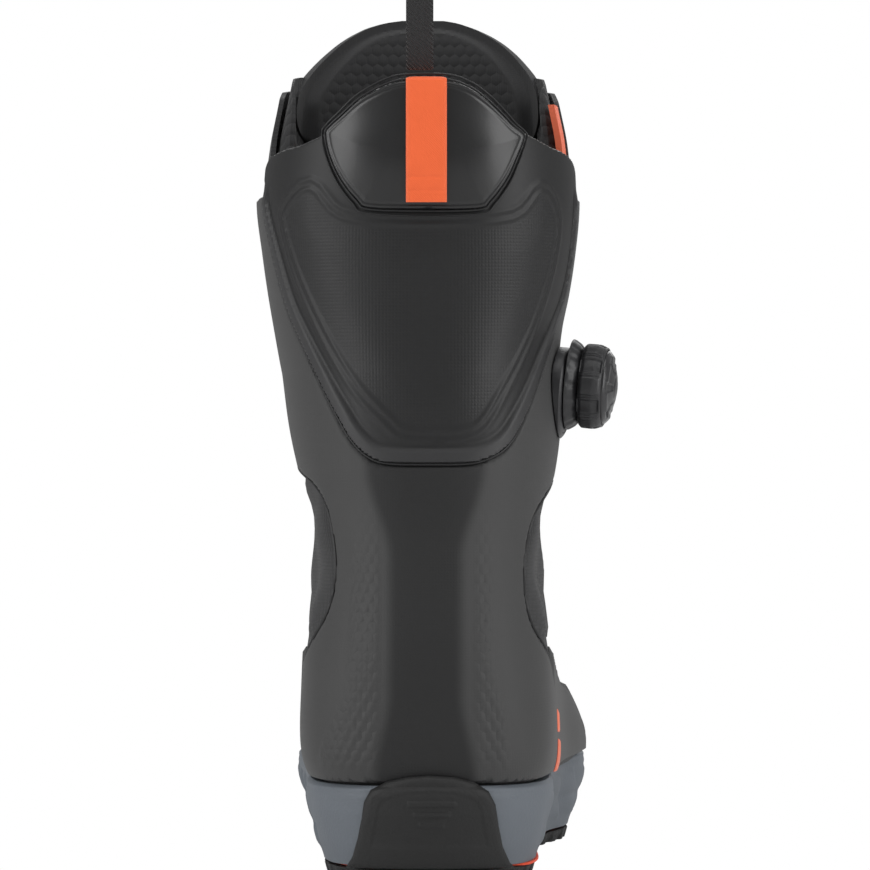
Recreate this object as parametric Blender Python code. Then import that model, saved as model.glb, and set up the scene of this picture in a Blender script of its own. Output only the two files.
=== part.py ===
"""Right-foot snowboard boot with a side lace dial, built as separate pieces.

Metres, +Z up, toe towards +Y, outer (lateral) side towards +X. The origin is on the sole's
underside, below the middle of the form's length. Sizes are written in millimetres and scaled
by MM where a mesh is made.

Everything fitted to the foot is a layer of one form. Each section of the form is a closed
rounded outline in a plane; the planes stand across the foot, fan round the heel about a
line in front of the ankle (the fan line), and lie flat up the shaft. A layer is the form
grown or shrunk by its distance t, so layers nest and never cross.
"""

import math

import bmesh
import bpy
import numpy as np
from mathutils import Matrix, Vector

MM = 0.001

# ---------------------------------------------------------------- driving sizes, in millimetres
FORM_LENGTH = 294.0  # heel to toe of the shell's base layer
FORM_HEIGHT = 310.0  # feather edge to the top of the form, above the collar
FORM_WIDTH = 112.0  # across the ball of the foot, base layer
GAP = 0.3  # clearance between pieces that touch
FIT = 1.1  # clearance between a layer and a panel laid over its facets

SHELL_WALL = 2.0  # base layer of the shell
LINER_WALL = 7.0
INSERT_WALL = 1.5  # moulded panel on the back of the cuff
BACK_WALL = 2.0  # outer layer that wraps heel and cuff
DOME_WALL = 3.2  # padded collar panel
TOE_CAP_WALL = 2.3
SHELL_TONGUE_WALL = 3.0
FOOTBED_WALL = 4.0
BOARD_WALL = 2.0
TONGUE_CLEARANCE = 1.5  # between the tongue's edge and the throat's edge

OUTSOLE_WALL = 4.4
LUG_GROOVE = 2.6
ACCENT_WALL = 2.4
MIDSOLE_FLOOR = 22.0  # accent plate to feather edge
RIM_HEIGHT = 6.5  # rim above the feather edge
HEEL_BUMPER_WALL = 3.2

TAB_WIDTH, TAB_LENGTH, TAB_WALL = 15.2, 45.0, 1.8
LOOP_WIDTH, LOOP_HEIGHT, LOOP_WALL, LOOP_SPREAD = 10.0, 54.0, 1.4, 14.0

REEL_BASE_R, REEL_BASE_WALL = 20.5, 1.2
HOUSING_R, HOUSING_TOP_R, HOUSING_HEIGHT, HOUSING_WALL = 17.5, 14.2, 4.6, 2.2
REEL_DOWN, REEL_BACK = 5.0, 9.5  # how far the reel faces down and back, in degrees
KNOB_R, KNOB_HEIGHT = 16.6, 9.0
POST_R = 4.5
GUIDE_POST_R, GUIDE_FLANGE_R, GUIDE_FLANGE = 4.0, 6.2, 1.1
LACE_R = 0.6

# ---------------------------------------------------------------- the drawn form
# The form is drawn once, at these sizes, and stretched to the driving sizes.
DRAWN_LENGTH, DRAWN_HEIGHT, DRAWN_WIDTH = 294.0, 310.0, 112.0
FEATHER_Z = OUTSOLE_WALL + ACCENT_WALL + MIDSOLE_FLOOR + 2 * GAP  # underside of the base layer
DRAWN_FEATHER = 30.0
FAN_Y, FAN_Z = 75.0, 190.0  # the fan line, drawn
TOE_Y, TOE_START = 150.0, 95.0  # tip of the toe, and where it begins to close
TOE_SHIFT = -6.0  # the tip lies towards the inner side
TOE_ROUND = 2.4
TOP_Z = 340.0

# s runs 0 toe tip, 0.5 where the toe closes, 1 to 2 round the fan, 3 at the top of the shaft.
STATIONS = np.array([
    # s    front  widest inner  outer  front  back      distances from the fan line, half widths,
    #      q_in   q_mid  w_med  w_lat  n_in   n_out     and how square each side of the section is
    (0.50, 105.0, 148.0, 47.5, 59.5, 1.6, 3.6),
    (1.00, 92.0, 148.0, 48.0, 60.5, 1.5, 3.6),
    (1.17, 79.0, 152.0, 45.5, 56.0, 1.6, 3.6),
    (1.33, 68.0, 164.0, 43.5, 49.5, 1.9, 3.8),
    (1.50, 61.0, 188.0, 44.0, 45.0, 2.3, 3.8),
    (1.59, 60.0, 204.0, 44.0, 43.0, 2.4, 3.4),
    (1.67, 60.0, 196.0, 42.0, 40.5, 2.4, 2.8),
    (1.73, 60.5, 172.0, 41.0, 39.8, 2.4, 2.6),
    (1.79, 61.5, 155.0, 41.2, 39.6, 2.4, 2.5),
    (1.84, 62.5, 145.0, 44.8, 43.0, 2.4, 2.5),
    (1.89, 63.5, 138.0, 48.0, 45.0, 2.4, 2.5),
    (2.00, 65.0, 133.0, 51.8, 44.8, 2.4, 2.5),
    (2.12, 67.0, 134.0, 55.2, 46.4, 2.5, 2.5),
    (2.20, 68.0, 135.0, 57.2, 48.8, 2.5, 2.5),
    (2.31, 69.0, 136.0, 59.4, 51.2, 2.5, 2.5),
    (2.44, 70.0, 137.0, 61.4, 52.8, 2.5, 2.5),
    (2.58, 71.0, 137.5, 59.5, 51.5, 2.5, 2.5),
    (2.72, 72.0, 138.0, 55.5, 47.5, 2.5, 2.5),
    (3.00, 73.0, 139.0, 54.0, 46.0, 2.5, 2.5),
])
# Distance from the fan line to the back of the heel and shaft.
BACK_S = (1.00, 1.33, 1.50, 1.59, 1.67, 1.72, 1.78, 1.83, 1.89, 2.00, 2.47, 3.00)
BACK_Q = (800.0, 400.0, 303.0, 274.0, 253.5, 241.5, 225.5, 215.0, 209.0, 205.0, 205.0, 208.0)
# How much of each half width the throat takes up, which the tongue fills.
THROAT_S = (0.72, 0.80, 1.00, 1.50, 2.00, 2.40, 2.67, 3.00)
THROAT_SHARE = (0.22, 0.36, 0.44, 0.54, 0.68, 0.74, 0.84, 0.86)

SECTIONS = np.concatenate([
    [0.0, 0.06, 0.13, 0.22, 0.33, 0.5, 0.75, 0.8, 0.88],
    np.linspace(1.0, 1.45, 6),
    np.linspace(1.51, 1.78, 8),
    [1.84, 1.9, 1.95],
    np.linspace(2.0, 3.0, 10),
])
ROUND = np.linspace(0.0, 2 * math.pi, 28, endpoint=False)


def along(x, xs, ys):
    """A smooth curve through (xs, ys): cubic pieces whose slope at each point is its neighbours'."""
    xs = np.asarray(xs, float)
    ys = np.asarray(ys, float)
    slope = np.gradient(ys, xs)
    x = np.clip(x, xs[0], xs[-1])
    i = np.clip(np.searchsorted(xs, x, side="right") - 1, 0, len(xs) - 2)
    h = xs[i + 1] - xs[i]
    u = (x - xs[i]) / h
    return (
        ys[i] * (1 + 2 * u) * (1 - u) ** 2
        + ys[i + 1] * u * u * (3 - 2 * u)
        + slope[i] * h * u * (1 - u) ** 2
        + slope[i + 1] * h * u * u * (u - 1)
    )


def station(s, column):
    return along(s, STATIONS[:, 0], STATIONS[:, column])


def stretch(points):
    """Drawn millimetres to real ones: each direction follows its own driving size."""
    p = np.array(points, float)
    p[..., 0] *= FORM_WIDTH / DRAWN_WIDTH
    p[..., 1] *= FORM_LENGTH / DRAWN_LENGTH
    p[..., 2] = FEATHER_Z + (p[..., 2] - DRAWN_FEATHER) * FORM_HEIGHT / DRAWN_HEIGHT
    return p


def form(s, a, t=0.0, lift=0.0):
    """Points of the layer t outside the base layer. a runs round a section: 0 at its front or
    top, a quarter turn at the outer side, half a turn at the back or sole. lift raises the sole."""
    s, a, t = np.broadcast_arrays(
        np.asarray(s, float), np.asarray(a, float), np.asarray(t, float)
    )
    # Toe: quarter of a rounded end, from 0 at the tip to 1 where it starts to close.
    turn = np.clip(s / 0.5, 0, 1) * math.pi / 2
    reach = np.cos(turn) ** (2 / TOE_ROUND)
    close = np.sin(turn) ** (2 / TOE_ROUND)
    k = np.maximum(s, 0.5)
    theta = np.radians(90 - 90 * np.clip(k - 1, 0, 1))
    q_in = station(k, 1) - t
    q_mid = station(k, 2)
    sole = (FAN_Z - DRAWN_FEATHER) / np.maximum(np.sin(theta), 0.05)
    back = along(k, BACK_S, BACK_Q)
    corner = 24.0
    q_out = (sole**-corner + back**-corner) ** (-1 / corner) + t
    q_out = q_out - lift * np.clip((np.degrees(theta) - 30) / 12, 0, 1)
    # Closing the toe pulls the section's top and sole together round its widest height.
    q_in = q_mid - (q_mid - q_in) * close**0.7 + 13.0 * reach * close**0.7
    q_out = q_mid + (q_out - q_mid) * close**0.3
    half = np.where(np.sin(a) >= 0, station(k, 4), -station(k, 3))
    half = (half + np.sign(half) * t) * close
    front = np.cos(a) >= 0
    n = np.where(front, station(k, 5), station(k, 6))
    q = np.where(
        front,
        q_mid - (q_mid - q_in) * np.abs(np.cos(a)) ** (2 / n),
        q_mid + (q_out - q_mid) * np.abs(np.cos(a)) ** (2 / n),
    )
    x = half * np.abs(np.sin(a)) ** (2 / n) + TOE_SHIFT * reach**2
    foot_y = np.where(
        s < 0.5,
        TOE_START + (TOE_Y + t - TOE_START) * reach,
        FAN_Y + (TOE_START - FAN_Y) * np.clip((1 - k) / 0.5, 0, 1),
    )
    shaft_rise = (TOP_Z - FAN_Z) * np.clip(k - 2, 0, 1)
    y = foot_y - q * np.cos(theta)
    z = FAN_Z + shaft_rise - q * np.sin(theta)
    return stretch(np.stack([x, y, z], axis=-1))


def throat_angle(s, side, clearance=0.0):
    """The angle a at which the throat's edge crosses the section, on one side (+1 outer)."""
    half = station(s, 4 if side > 0 else 3)
    share = np.clip(along(s, THROAT_S, THROAT_SHARE) - clearance / half, 0, 0.98)
    return side * np.arcsin(share ** (station(s, 5) / 2))


def back_angle(s, x):
    """The angle a at which the back of the section stands x from the middle."""
    half = station(s, 4) if np.all(np.asarray(x) >= 0) else station(s, 3)
    share = np.clip(np.abs(x) / half, 0, 0.985)
    return math.pi - np.sign(x) * np.arcsin(share ** (station(s, 6) / 2))


def height(z):
    """The section s of the shaft at a drawn height z."""
    return 2 + (np.asarray(z, float) - FAN_Z) / (TOP_Z - FAN_Z)


def local_frame(s, a, t):
    """A point of a layer with the directions round and up the form, and outwards."""
    step = 1e-3
    p = form(s, a, t)
    round_ = form(s, a + step, t) - p
    up = form(s + step, a, t) - p
    size_a, size_s = np.linalg.norm(round_) / step, np.linalg.norm(up) / step
    round_ = round_ / np.linalg.norm(round_)
    out = np.cross(up, round_)
    out = out / np.linalg.norm(out)
    if np.dot(out, form(s, a, t + 1.0) - p) < 0:
        out = -out
    up = np.cross(out, round_)
    if np.dot(up, form(s + step, a, t) - p) < 0:
        up = -up
    return p, round_, up, out, size_a, size_s


# ---------------------------------------------------------------- meshes and solids
def material(name, colour, roughness, metallic=0.0):
    made = bpy.data.materials.new(name)
    made.use_nodes = True
    shader = made.node_tree.nodes["Principled BSDF"]
    shader.inputs["Base Color"].default_value = (*colour, 1.0)
    shader.inputs["Roughness"].default_value = roughness
    shader.inputs["Metallic"].default_value = metallic
    made.diffuse_color = (*colour, 1.0)
    return made


def add_object(name, mesh, finish=None, parent=None):
    obj = bpy.data.objects.new(name, mesh)
    bpy.context.scene.collection.objects.link(obj)
    if finish is not None:
        mesh.materials.append(finish)
    mesh.shade_smooth()
    mesh.set_sharp_from_angle(angle=math.radians(35))
    if parent is not None:
        obj.parent = parent
        obj.matrix_parent_inverse = parent.matrix_world.inverted()
    return obj


def pivot(name, point):
    """An empty on a joint's axis, the parent of what moves with it."""
    empty = bpy.data.objects.new(name, None)
    bpy.context.scene.collection.objects.link(empty)
    empty.location = Vector(point) * MM
    empty.empty_display_size = 0.01
    bpy.context.view_layer.update()
    return empty


def mesh_of(name, points, faces):
    """A closed mesh from points in millimetres, its faces turned to point outwards."""
    mesh = bpy.data.meshes.new(name)
    mesh.from_pydata([tuple(p) for p in np.asarray(points) * MM], [], faces)
    b = bmesh.new()
    b.from_mesh(mesh)
    bmesh.ops.remove_doubles(b, verts=b.verts, dist=0.005 * MM)
    bmesh.ops.dissolve_degenerate(b, edges=b.edges, dist=0.002 * MM)
    bmesh.ops.recalc_face_normals(b, faces=b.faces)
    if b.calc_volume(signed=True) < 0:
        bmesh.ops.reverse_faces(b, faces=b.faces)
    b.to_mesh(mesh)
    b.free()
    return mesh


def wall(name, inner, outer, keep=None, wrap=False, pole=False):
    """A solid between two grids of points. keep says which cells have the wall, wrap joins the
    last column to the first, and pole means that the whole first row is one point."""
    rows, columns = outer.shape[:2]
    far = rows * columns
    across = columns if wrap else columns - 1
    keep = np.ones((rows - 1, across), bool) if keep is None else keep

    def corner(i, j):
        return i * columns + j % columns

    def kept(i, j):
        j = j % across if wrap else j
        return 0 <= i < rows - 1 and 0 <= j < across and keep[i, j]

    faces = []
    for i in range(rows - 1):
        for j in range(across):
            if not keep[i, j]:
                continue
            near = [corner(i, j), corner(i, j + 1), corner(i + 1, j + 1), corner(i + 1, j)]
            faces.append(near)
            faces.append([far + v for v in near[::-1]])
            for step, (a, b) in (
                ((i - 1, j), (near[1], near[0])),
                ((i + 1, j), (near[3], near[2])),
                ((i, j - 1), (near[0], near[3])),
                ((i, j + 1), (near[2], near[1])),
            ):
                if not kept(*step) and not (pole and step[0] < 0):
                    faces.append([a, b, far + b, far + a])
    points = np.concatenate([outer.reshape(-1, 3), inner.reshape(-1, 3)])
    return mesh_of(name, points, faces)


def layer(name, s, a, t_in, t_out, lift=0.0, **how):
    """A wall of the form between the layers t_in and t_out, over the sections s and angles a."""
    s = np.asarray(s, float)
    s = s if s.ndim == 2 else s[:, None]
    return wall(name, form(s, a, t_in, lift), form(s, a, t_out, lift), **how)


def filled(name, t, lift=0.0):
    """The whole inside of a layer, as one solid."""
    ring = form(SECTIONS[:, None], ROUND[None, :], t, lift)
    rows, columns = ring.shape[:2]
    faces = []
    for i in range(rows - 1):
        for j in range(columns):
            k = (j + 1) % columns
            faces.append([i * columns + j, i * columns + k, (i + 1) * columns + k, (i + 1) * columns + j])
    last = (rows - 1) * columns
    faces.append(list(range(last, last + columns)))
    return mesh_of(name, ring.reshape(-1, 3), faces)


def stack(name, outlines):
    """A solid through outlines of the same number of points, one above the other."""
    outlines = np.asarray(outlines, float)
    levels, count = outlines.shape[:2]
    faces = [list(range(count)), list(range((levels - 1) * count, levels * count))]
    for i in range(levels - 1):
        for j in range(count):
            k = (j + 1) % count
            faces.append([i * count + j, i * count + k, (i + 1) * count + k, (i + 1) * count + j])
    return mesh_of(name, outlines.reshape(-1, 3), faces)


def prism(name, outline, axis, low, high):
    """An outline drawn across X or Y and carried from low to high along it, in drawn sizes."""
    levels = []
    for level in (low, high):
        if axis == "X":
            levels.append([(level, u, v) for u, v in outline])
        else:
            levels.append([(u, level, v) for u, v in outline])
    return stack(name, stretch(levels))


def box(name, low, high):
    """A block between two corners in millimetres."""
    (x0, y0, z0), (x1, y1, z1) = low, high
    ring = [(x0, y0), (x1, y0), (x1, y1), (x0, y1)]
    return stack(name, [[(x, y, z) for x, y in ring] for z in (z0, z1)])


def cut(obj, mesh, operation="DIFFERENCE"):
    other = add_object(f"{mesh.name}_cutter", mesh)
    other.hide_render = True
    other.display_type = "WIRE"
    modifier = obj.modifiers.new(mesh.name, "BOOLEAN")
    modifier.operation = operation
    modifier.object = other
    modifier.solver = "EXACT"


def turned(name, profile, steps=28, wave=None):
    """A closed profile of (radius, height) turned about +Z. wave(angle) scales the radius."""
    angles = np.linspace(0, 2 * math.pi, steps, endpoint=False)
    profile = np.asarray(profile, float)
    scale = np.ones(steps) if wave is None else wave(angles)
    rings = [
        np.stack([np.cos(angles) * scale * r, np.sin(angles) * scale * r, angles * 0 + h], axis=-1)
        for r, h in profile
    ]
    count = len(profile)
    faces = []
    for j in range(count):
        k = (j + 1) % count
        if profile[j][0] < 1e-6 and profile[k][0] < 1e-6:
            continue
        for i in range(steps):
            i2 = (i + 1) % steps
            faces.append([j * steps + i, j * steps + i2, k * steps + i2, k * steps + i])
    return mesh_of(name, np.concatenate(rings), faces)


def place(mesh, origin, out, turn=(0.0, 0.0, 1.0)):
    """Moves a mesh made about +Z so that its foot is at origin and its axis along out."""
    out = Vector(out).normalized()
    side = Vector(turn).cross(out).normalized()
    up = out.cross(side)
    turn_to = Matrix((side, up, out)).transposed().to_4x4()
    mesh.transform(Matrix.Translation(Vector(origin) * MM) @ turn_to)
    return mesh


def curve_through(points, per_span=6, closed=True):
    """Points of a smooth curve through a few drawn ones."""
    p = np.asarray(points, float)
    count = len(p)
    spans = count if closed else count - 1
    out = []
    for i in range(spans):
        before = p[(i - 1) % count] if closed or i > 0 else p[i]
        start, end = p[i % count], p[(i + 1) % count]
        after = p[(i + 2) % count] if closed or i + 2 < count else end
        for u in np.linspace(0, 1, per_span, endpoint=False):
            out.append(0.5 * (
                2 * start + (end - before) * u
                + (2 * before - 5 * start + 4 * end - after) * u**2
                + (3 * start - before - 3 * end + after) * u**3
            ))
    if not closed:
        out.append(p[-1])
    return np.array(out)


def grown(outline, by):
    """A closed outline in a plane, each point moved outwards by a distance."""
    outline = np.asarray(outline, float)
    tangent = np.roll(outline, -1, axis=0) - np.roll(outline, 1, axis=0)
    normal = np.stack([tangent[:, 1], -tangent[:, 0]], axis=-1)
    normal /= np.linalg.norm(normal, axis=1, keepdims=True)
    area = np.sum(outline[:, 0] * np.roll(outline[:, 1], -1) - np.roll(outline[:, 0], -1) * outline[:, 1])
    return outline + normal * (by if area > 0 else -by)


def ribbon(name, line, width, thick, x, closed=False):
    """A strip of webbing: a line of (y, z) in the middle plane x, with a width and a thickness."""
    line = np.asarray(line, float)
    if closed:
        tangent = np.roll(line, -1, axis=0) - np.roll(line, 1, axis=0)
    else:
        tangent = np.gradient(line, axis=0)
    normal = np.stack([tangent[:, 1], -tangent[:, 0]], axis=-1)
    normal /= np.linalg.norm(normal, axis=1, keepdims=True)
    grids = []
    for side in (-0.5, 0.5):
        edge = line + normal * thick * side
        rows = [
            np.stack([np.full(len(edge), x + width * across), edge[:, 0], edge[:, 1]], axis=-1)
            for across in (-0.5, 0.5)
        ]
        grids.append(np.stack(rows))
    return wall(name, grids[0], grids[1], wrap=closed)


# ---------------------------------------------------------------- fitted layers
THROAT_START = 0.75
WRAP_COLUMNS = 20


def wrap_angles(s):
    """Angles round each section, from the throat's outer edge round the back to its inner edge,
    then three across the throat."""
    s = np.maximum(s, THROAT_START)
    outer, inner = throat_angle(s, 1), 2 * math.pi + throat_angle(s, -1)
    share = np.linspace(0, 1, WRAP_COLUMNS)
    back = outer[:, None] + (inner - outer)[:, None] * share
    across = np.linspace(0, 1, 5)[1:-1]
    front = inner[:, None] + (outer + 2 * math.pi - inner)[:, None] * across
    return np.concatenate([back, front], axis=1)


def throat_open(rows):
    keep = np.ones((len(rows) - 1, WRAP_COLUMNS + 3), bool)
    keep[rows[:-1] >= THROAT_START - 1e-6, WRAP_COLUMNS - 1 :] = False
    return keep


def raised(rows, a, top):
    """Sections for each cell of a grid, the shaft's shared out up to top(a)."""
    rows = rows[:, None]
    reach = (rows - 2) * (top(a) - 2)
    return np.where(rows > 2, 2 + reach, rows + 0 * a)


def back_share(a):
    """1 at the back of the section, 0 at the sides and front."""
    return np.clip(-np.cos(a), 0, 1)


def liner_top(a):
    return 2.70 + 0.03 * back_share(a) ** 2


def shell_top(a):
    return 2.50 + 0.17 * back_share(a) ** 1.5


def make_shell(finish):
    a = wrap_angles(SECTIONS)
    s = raised(SECTIONS, a, shell_top)
    mesh = layer("lower_shell", s, a, 0.0, SHELL_WALL, keep=throat_open(SECTIONS), wrap=True, pole=True)
    return add_object("lower_shell", mesh, finish)


def make_liner(finish):
    a = wrap_angles(SECTIONS)
    s = raised(SECTIONS, a, liner_top)
    mesh = layer(
        "liner", s, a, -FIT - GAP - LINER_WALL, -FIT - GAP, BOARD_WALL + FIT,
        keep=throat_open(SECTIONS), wrap=True, pole=True,
    )
    return add_object("liner", mesh, finish)


def make_tongues(shell_finish, lining, parent):
    """The stiff outer tongue and the padded one behind it, each inside the throat's edges."""
    for name, first, t_in, t_out, colour in (
        ("shell_tongue", THROAT_START + 0.03, 0.0, SHELL_TONGUE_WALL, shell_finish),
        ("liner_tongue", THROAT_START + 0.2, -FIT - GAP - LINER_WALL, -FIT - GAP, lining),
    ):
        rows = np.concatenate([[first], SECTIONS[SECTIONS > 0.97]])
        outer = throat_angle(rows, 1, TONGUE_CLEARANCE)
        inner = throat_angle(rows, -1, TONGUE_CLEARANCE)
        across = np.linspace(0, 1, 7)
        a = inner[:, None] + (outer - inner)[:, None] * across
        top = 2.70 if name == "shell_tongue" else 2.95
        corner = 0.10 * np.abs(2 * across - 1) ** 3
        s = np.where(rows[:, None] > 2, 2 + (rows[:, None] - 2) * (top - corner - 2), rows[:, None])
        add_object(name, layer(name, s, a, t_in, t_out), colour, parent)


def make_sole_layers(board, foam):
    """The lasting board under the liner and the footbed inside it."""
    rows = np.concatenate([[0.25, 0.33, 0.5, 0.75], SECTIONS[(SECTIONS >= 1) & (SECTIONS < 1.55)]])
    a = np.linspace(math.pi - 0.6, math.pi + 0.6, 9)
    mesh = layer("lasting_board", rows, a, -FIT - BOARD_WALL, -FIT)
    add_object("lasting_board", mesh, board)
    rows = rows[rows < 1.48]
    t_out = -2 * FIT - GAP - LINER_WALL
    lift = BOARD_WALL + FIT
    add_object("footbed", layer("footbed", rows, a, t_out - FOOTBED_WALL, t_out, lift), foam)


def make_toe_cap(finish):
    rows = np.array([0.0, 0.06, 0.13, 0.22, 0.33, 0.5])
    a = np.linspace(-0.5 * math.pi, 0.5 * math.pi, 13)[None, :] * np.ones((len(rows), 1))
    a = a * 1.25
    t_in = SHELL_WALL + FIT
    mesh = layer("toe_cap", rows, a, t_in, t_in + TOE_CAP_WALL, pole=True)
    obj = add_object("toe_cap", mesh, finish)
    cut(obj, box("toe_cap_trim", (-200, -50, -50), (200, 250, FEATHER_Z + RIM_HEIGHT + GAP)))


# Half widths of the seam round the cuff's back panel, at drawn heights.
SEAM_Z = (100.0, 157.0, 160.0, 167.0, 178.0, 200.0, 215.0, 230.0, 250.0, 262.0, 300.0)
SEAM_IN = (18.0, 18.0, 25.0, 31.0, 38.0, 48.5, 54.5, 59.5, 64.0, 65.0, 65.0)
SEAM_OUT = (20.0, 20.0, 26.0, 32.5, 38.0, 49.0, 52.5, 54.5, 57.0, 57.5, 57.5)


def seam(s, side, inset=0.0):
    s = np.asarray(s, float)
    below = FAN_Z - 206.0 * np.sin(math.pi / 2 * np.clip(2 - s, 0, 1))
    z = np.where(s > 2, FAN_Z + (s - 2) * (TOP_Z - FAN_Z), below)
    width = np.interp(z, SEAM_Z, SEAM_OUT if side > 0 else SEAM_IN)
    return back_angle(s, side * width) + side * inset / station(s, 4)


def make_back_shell(finish):
    """Heel counter, spine and both sides of the cuff, with the opening for the back panel."""
    seam_start = 1.895
    rows = np.concatenate([
        np.linspace(1.2, 1.45, 3), SECTIONS[(SECTIONS > 1.5) & (SECTIONS < 1.85)],
        [seam_start, 1.912, 1.93, 1.95, 1.965, 1.98, 2.0, 2.04, 2.08, 2.13, 2.22, 2.33, 2.40, 2.46],
    ])
    front_out = throat_angle(rows, 1, -17.0)
    front_in = 2 * math.pi + throat_angle(rows, -1, -17.0)
    clipped = np.maximum(rows, seam_start)
    seam_out, seam_in = seam(clipped, 1), seam(clipped, -1)
    share = np.linspace(0, 1, 8)
    a = np.concatenate([
        front_out[:, None] + (seam_out - front_out)[:, None] * share,
        seam_out[:, None] + (seam_in - seam_out)[:, None] * np.linspace(0, 1, 6)[1:-1],
        seam_in[:, None] + (front_in - seam_in)[:, None] * share,
    ], axis=1)
    keep = np.ones((len(rows) - 1, a.shape[1] - 1), bool)
    keep[rows[:-1] >= seam_start - 1e-6, 7:12] = False
    t_in = SHELL_WALL + FIT
    obj = add_object("back_shell", layer("back_shell", rows, a, t_in, t_in + BACK_WALL, keep=keep), finish)
    cut(obj, box("back_shell_trim", (-200, -250, -50), (200, 250, FEATHER_Z + RIM_HEIGHT + GAP)))
    notch = [
        (-103, 118), (-98, 134), (-84, 148), (-60, 156), (-20, 160), (90, 190), (140, 100),
        (60, 62), (0, 70), (-50, 80), (-82, 90), (-98, 103),
    ]
    cut(obj, prism("ankle_notch", notch, "X", -90, 90))


def make_back_panel(finish):
    """The panel set into the back of the cuff, its edge inside the seam."""
    rows = np.array([1.902, 1.915, 1.93, 1.95, 1.965, 1.98, 2.0, 2.04, 2.08, 2.13, 2.22, 2.33, 2.42, 2.52])
    out, inner = seam(rows, 1, 1.2), seam(rows, -1, 1.2)
    a = out[:, None] + (inner - out)[:, None] * np.linspace(0, 1, 15)
    t_in = SHELL_WALL + FIT
    add_object("back_panel", layer("back_panel", rows, a, t_in, t_in + INSERT_WALL), finish)


DOME_X = (-39.0, -37.0, -30.0, -20.0, -10.0, 0.0, 10.0, 20.0, 28.0, 34.0, 36.0)
DOME_LOW = (274.0, 270.0, 259.0, 251.0, 250.5, 250.5, 250.5, 251.5, 259.0, 270.0, 273.0)
DOME_HIGH = (283.0, 286.0, 290.5, 295.5, 298.5, 299.5, 298.5, 295.5, 291.0, 286.0, 283.0)


def make_dome(finish):
    """The padded panel on the back of the collar: thickest in the middle, thin at its rim."""
    share = np.array([0.0, 0.12, 0.35, 0.65, 0.88, 1.0])[:, None]
    low, high = height(DOME_LOW), height(DOME_HIGH)
    s = low + (high - low) * share
    x = np.asarray(DOME_X)
    a = np.stack([[back_angle(2.55, v) for v in x]] * len(share))
    t_in = SHELL_WALL + INSERT_WALL + 2 * FIT
    swell = np.sin(math.pi * np.clip(share, 0.06, 0.94)) ** 0.5
    swell = swell * np.sin(math.pi * np.linspace(0.07, 0.93, len(x))) ** 0.5
    mesh = wall("collar_dome", form(s, a, t_in), form(s, a, t_in + 1.2 + (DOME_WALL - 1.2) * swell))
    add_object("collar_dome", mesh, finish)


# ---------------------------------------------------------------- the sole
FOOTPRINT = [
    (0, -150.5), (26, -144), (41, -127), (47, -100), (47.5, -60), (48, -15), (54, 30), (62.5, 62),
    (63.5, 92), (55.5, 122), (36, 146), (4, 156), (-28, 152), (-46.5, 131), (-54, 98), (-53.5, 60),
    (-50, 15), (-48, -25), (-47, -65), (-46.5, -100), (-41, -127), (-26, -144),
]


def footprint(z, grow=0.0):
    outline = grown(curve_through(FOOTPRINT, 3), grow)
    flat = stretch(np.concatenate([outline, np.zeros((len(outline), 1))], axis=1))
    flat[:, 2] = z
    return flat


def make_midsole(finish):
    low = OUTSOLE_WALL + ACCENT_WALL + 2 * GAP
    rim = FEATHER_Z + RIM_HEIGHT
    levels = [
        footprint(low, -6.5), footprint(low + 5, -4.6), footprint(FEATHER_Z - 4, -1.0),
        footprint(FEATHER_Z + 3, 0.0), footprint(rim - 1.2, -0.4), footprint(rim, -1.6),
    ]
    obj = add_object("midsole", stack("midsole", levels), finish)
    cut(obj, filled("foot_seat", SHELL_WALL + FIT))
    return obj


def make_outsole(rubber, accent):
    top = OUTSOLE_WALL
    levels = [footprint(0, -9.5), footprint(1.6, -8.0), footprint(top, -7.1)]
    obj = add_object("outsole", stack("outsole", levels), rubber)
    for k, y in enumerate((-118, -88, 20, 50, 80, 110)):
        depth = (-80, y - 3, -2), (80, y + 3, LUG_GROOVE)
        cut(obj, box(f"groove_{k}", *depth))
    waist = [footprint(top + GAP, -7.4), footprint(top + GAP + ACCENT_WALL, -7.0)]
    add_object("accent_plate", stack("accent_plate", waist), accent)


def make_heel_bumper(finish):
    """A rubber guard over the midsole's heel, kept to an arch seen from behind."""
    low, rim = OUTSOLE_WALL + GAP * 0.5, FEATHER_Z + RIM_HEIGHT
    grow = GAP + HEEL_BUMPER_WALL
    levels = [
        footprint(low, grow - 6.5), footprint(low + 5, grow - 4.6), footprint(FEATHER_Z - 4, grow - 1.0),
        footprint(FEATHER_Z + 3, grow), footprint(rim - 1.2, grow),
    ]
    obj = add_object("heel_bumper", stack("heel_bumper", levels), finish)
    inside = [
        footprint(low - 9, GAP - 6.5), footprint(low, GAP - 6.5), footprint(low + 5, GAP - 4.6),
        footprint(FEATHER_Z - 4, GAP - 1.0), footprint(FEATHER_Z + 3, GAP), footprint(rim + 9, GAP),
    ]
    cut(obj, stack("bumper_seat", inside))
    arch = [(-29, 4.9), (-26, 22), (-23, 33), (-16, 37.5), (16, 37.5), (23, 33), (27, 22), (31, 4.9)]
    cut(obj, prism("bumper_arch", arch, "Y", -175, -100), "INTERSECT")


# ---------------------------------------------------------------- reel, lace and guides
LACE_T = SHELL_WALL + BACK_WALL + 2 * FIT + LACE_R
GUIDE_SECTIONS = (1.18, 1.52, 1.86, 2.18)
GUIDE_INSET = 8.5
REEL_S, REEL_A = 1.985, math.radians(101.0)


def guide_angle(s, side):
    return float(throat_angle(s, side, -GUIDE_INSET))


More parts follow.
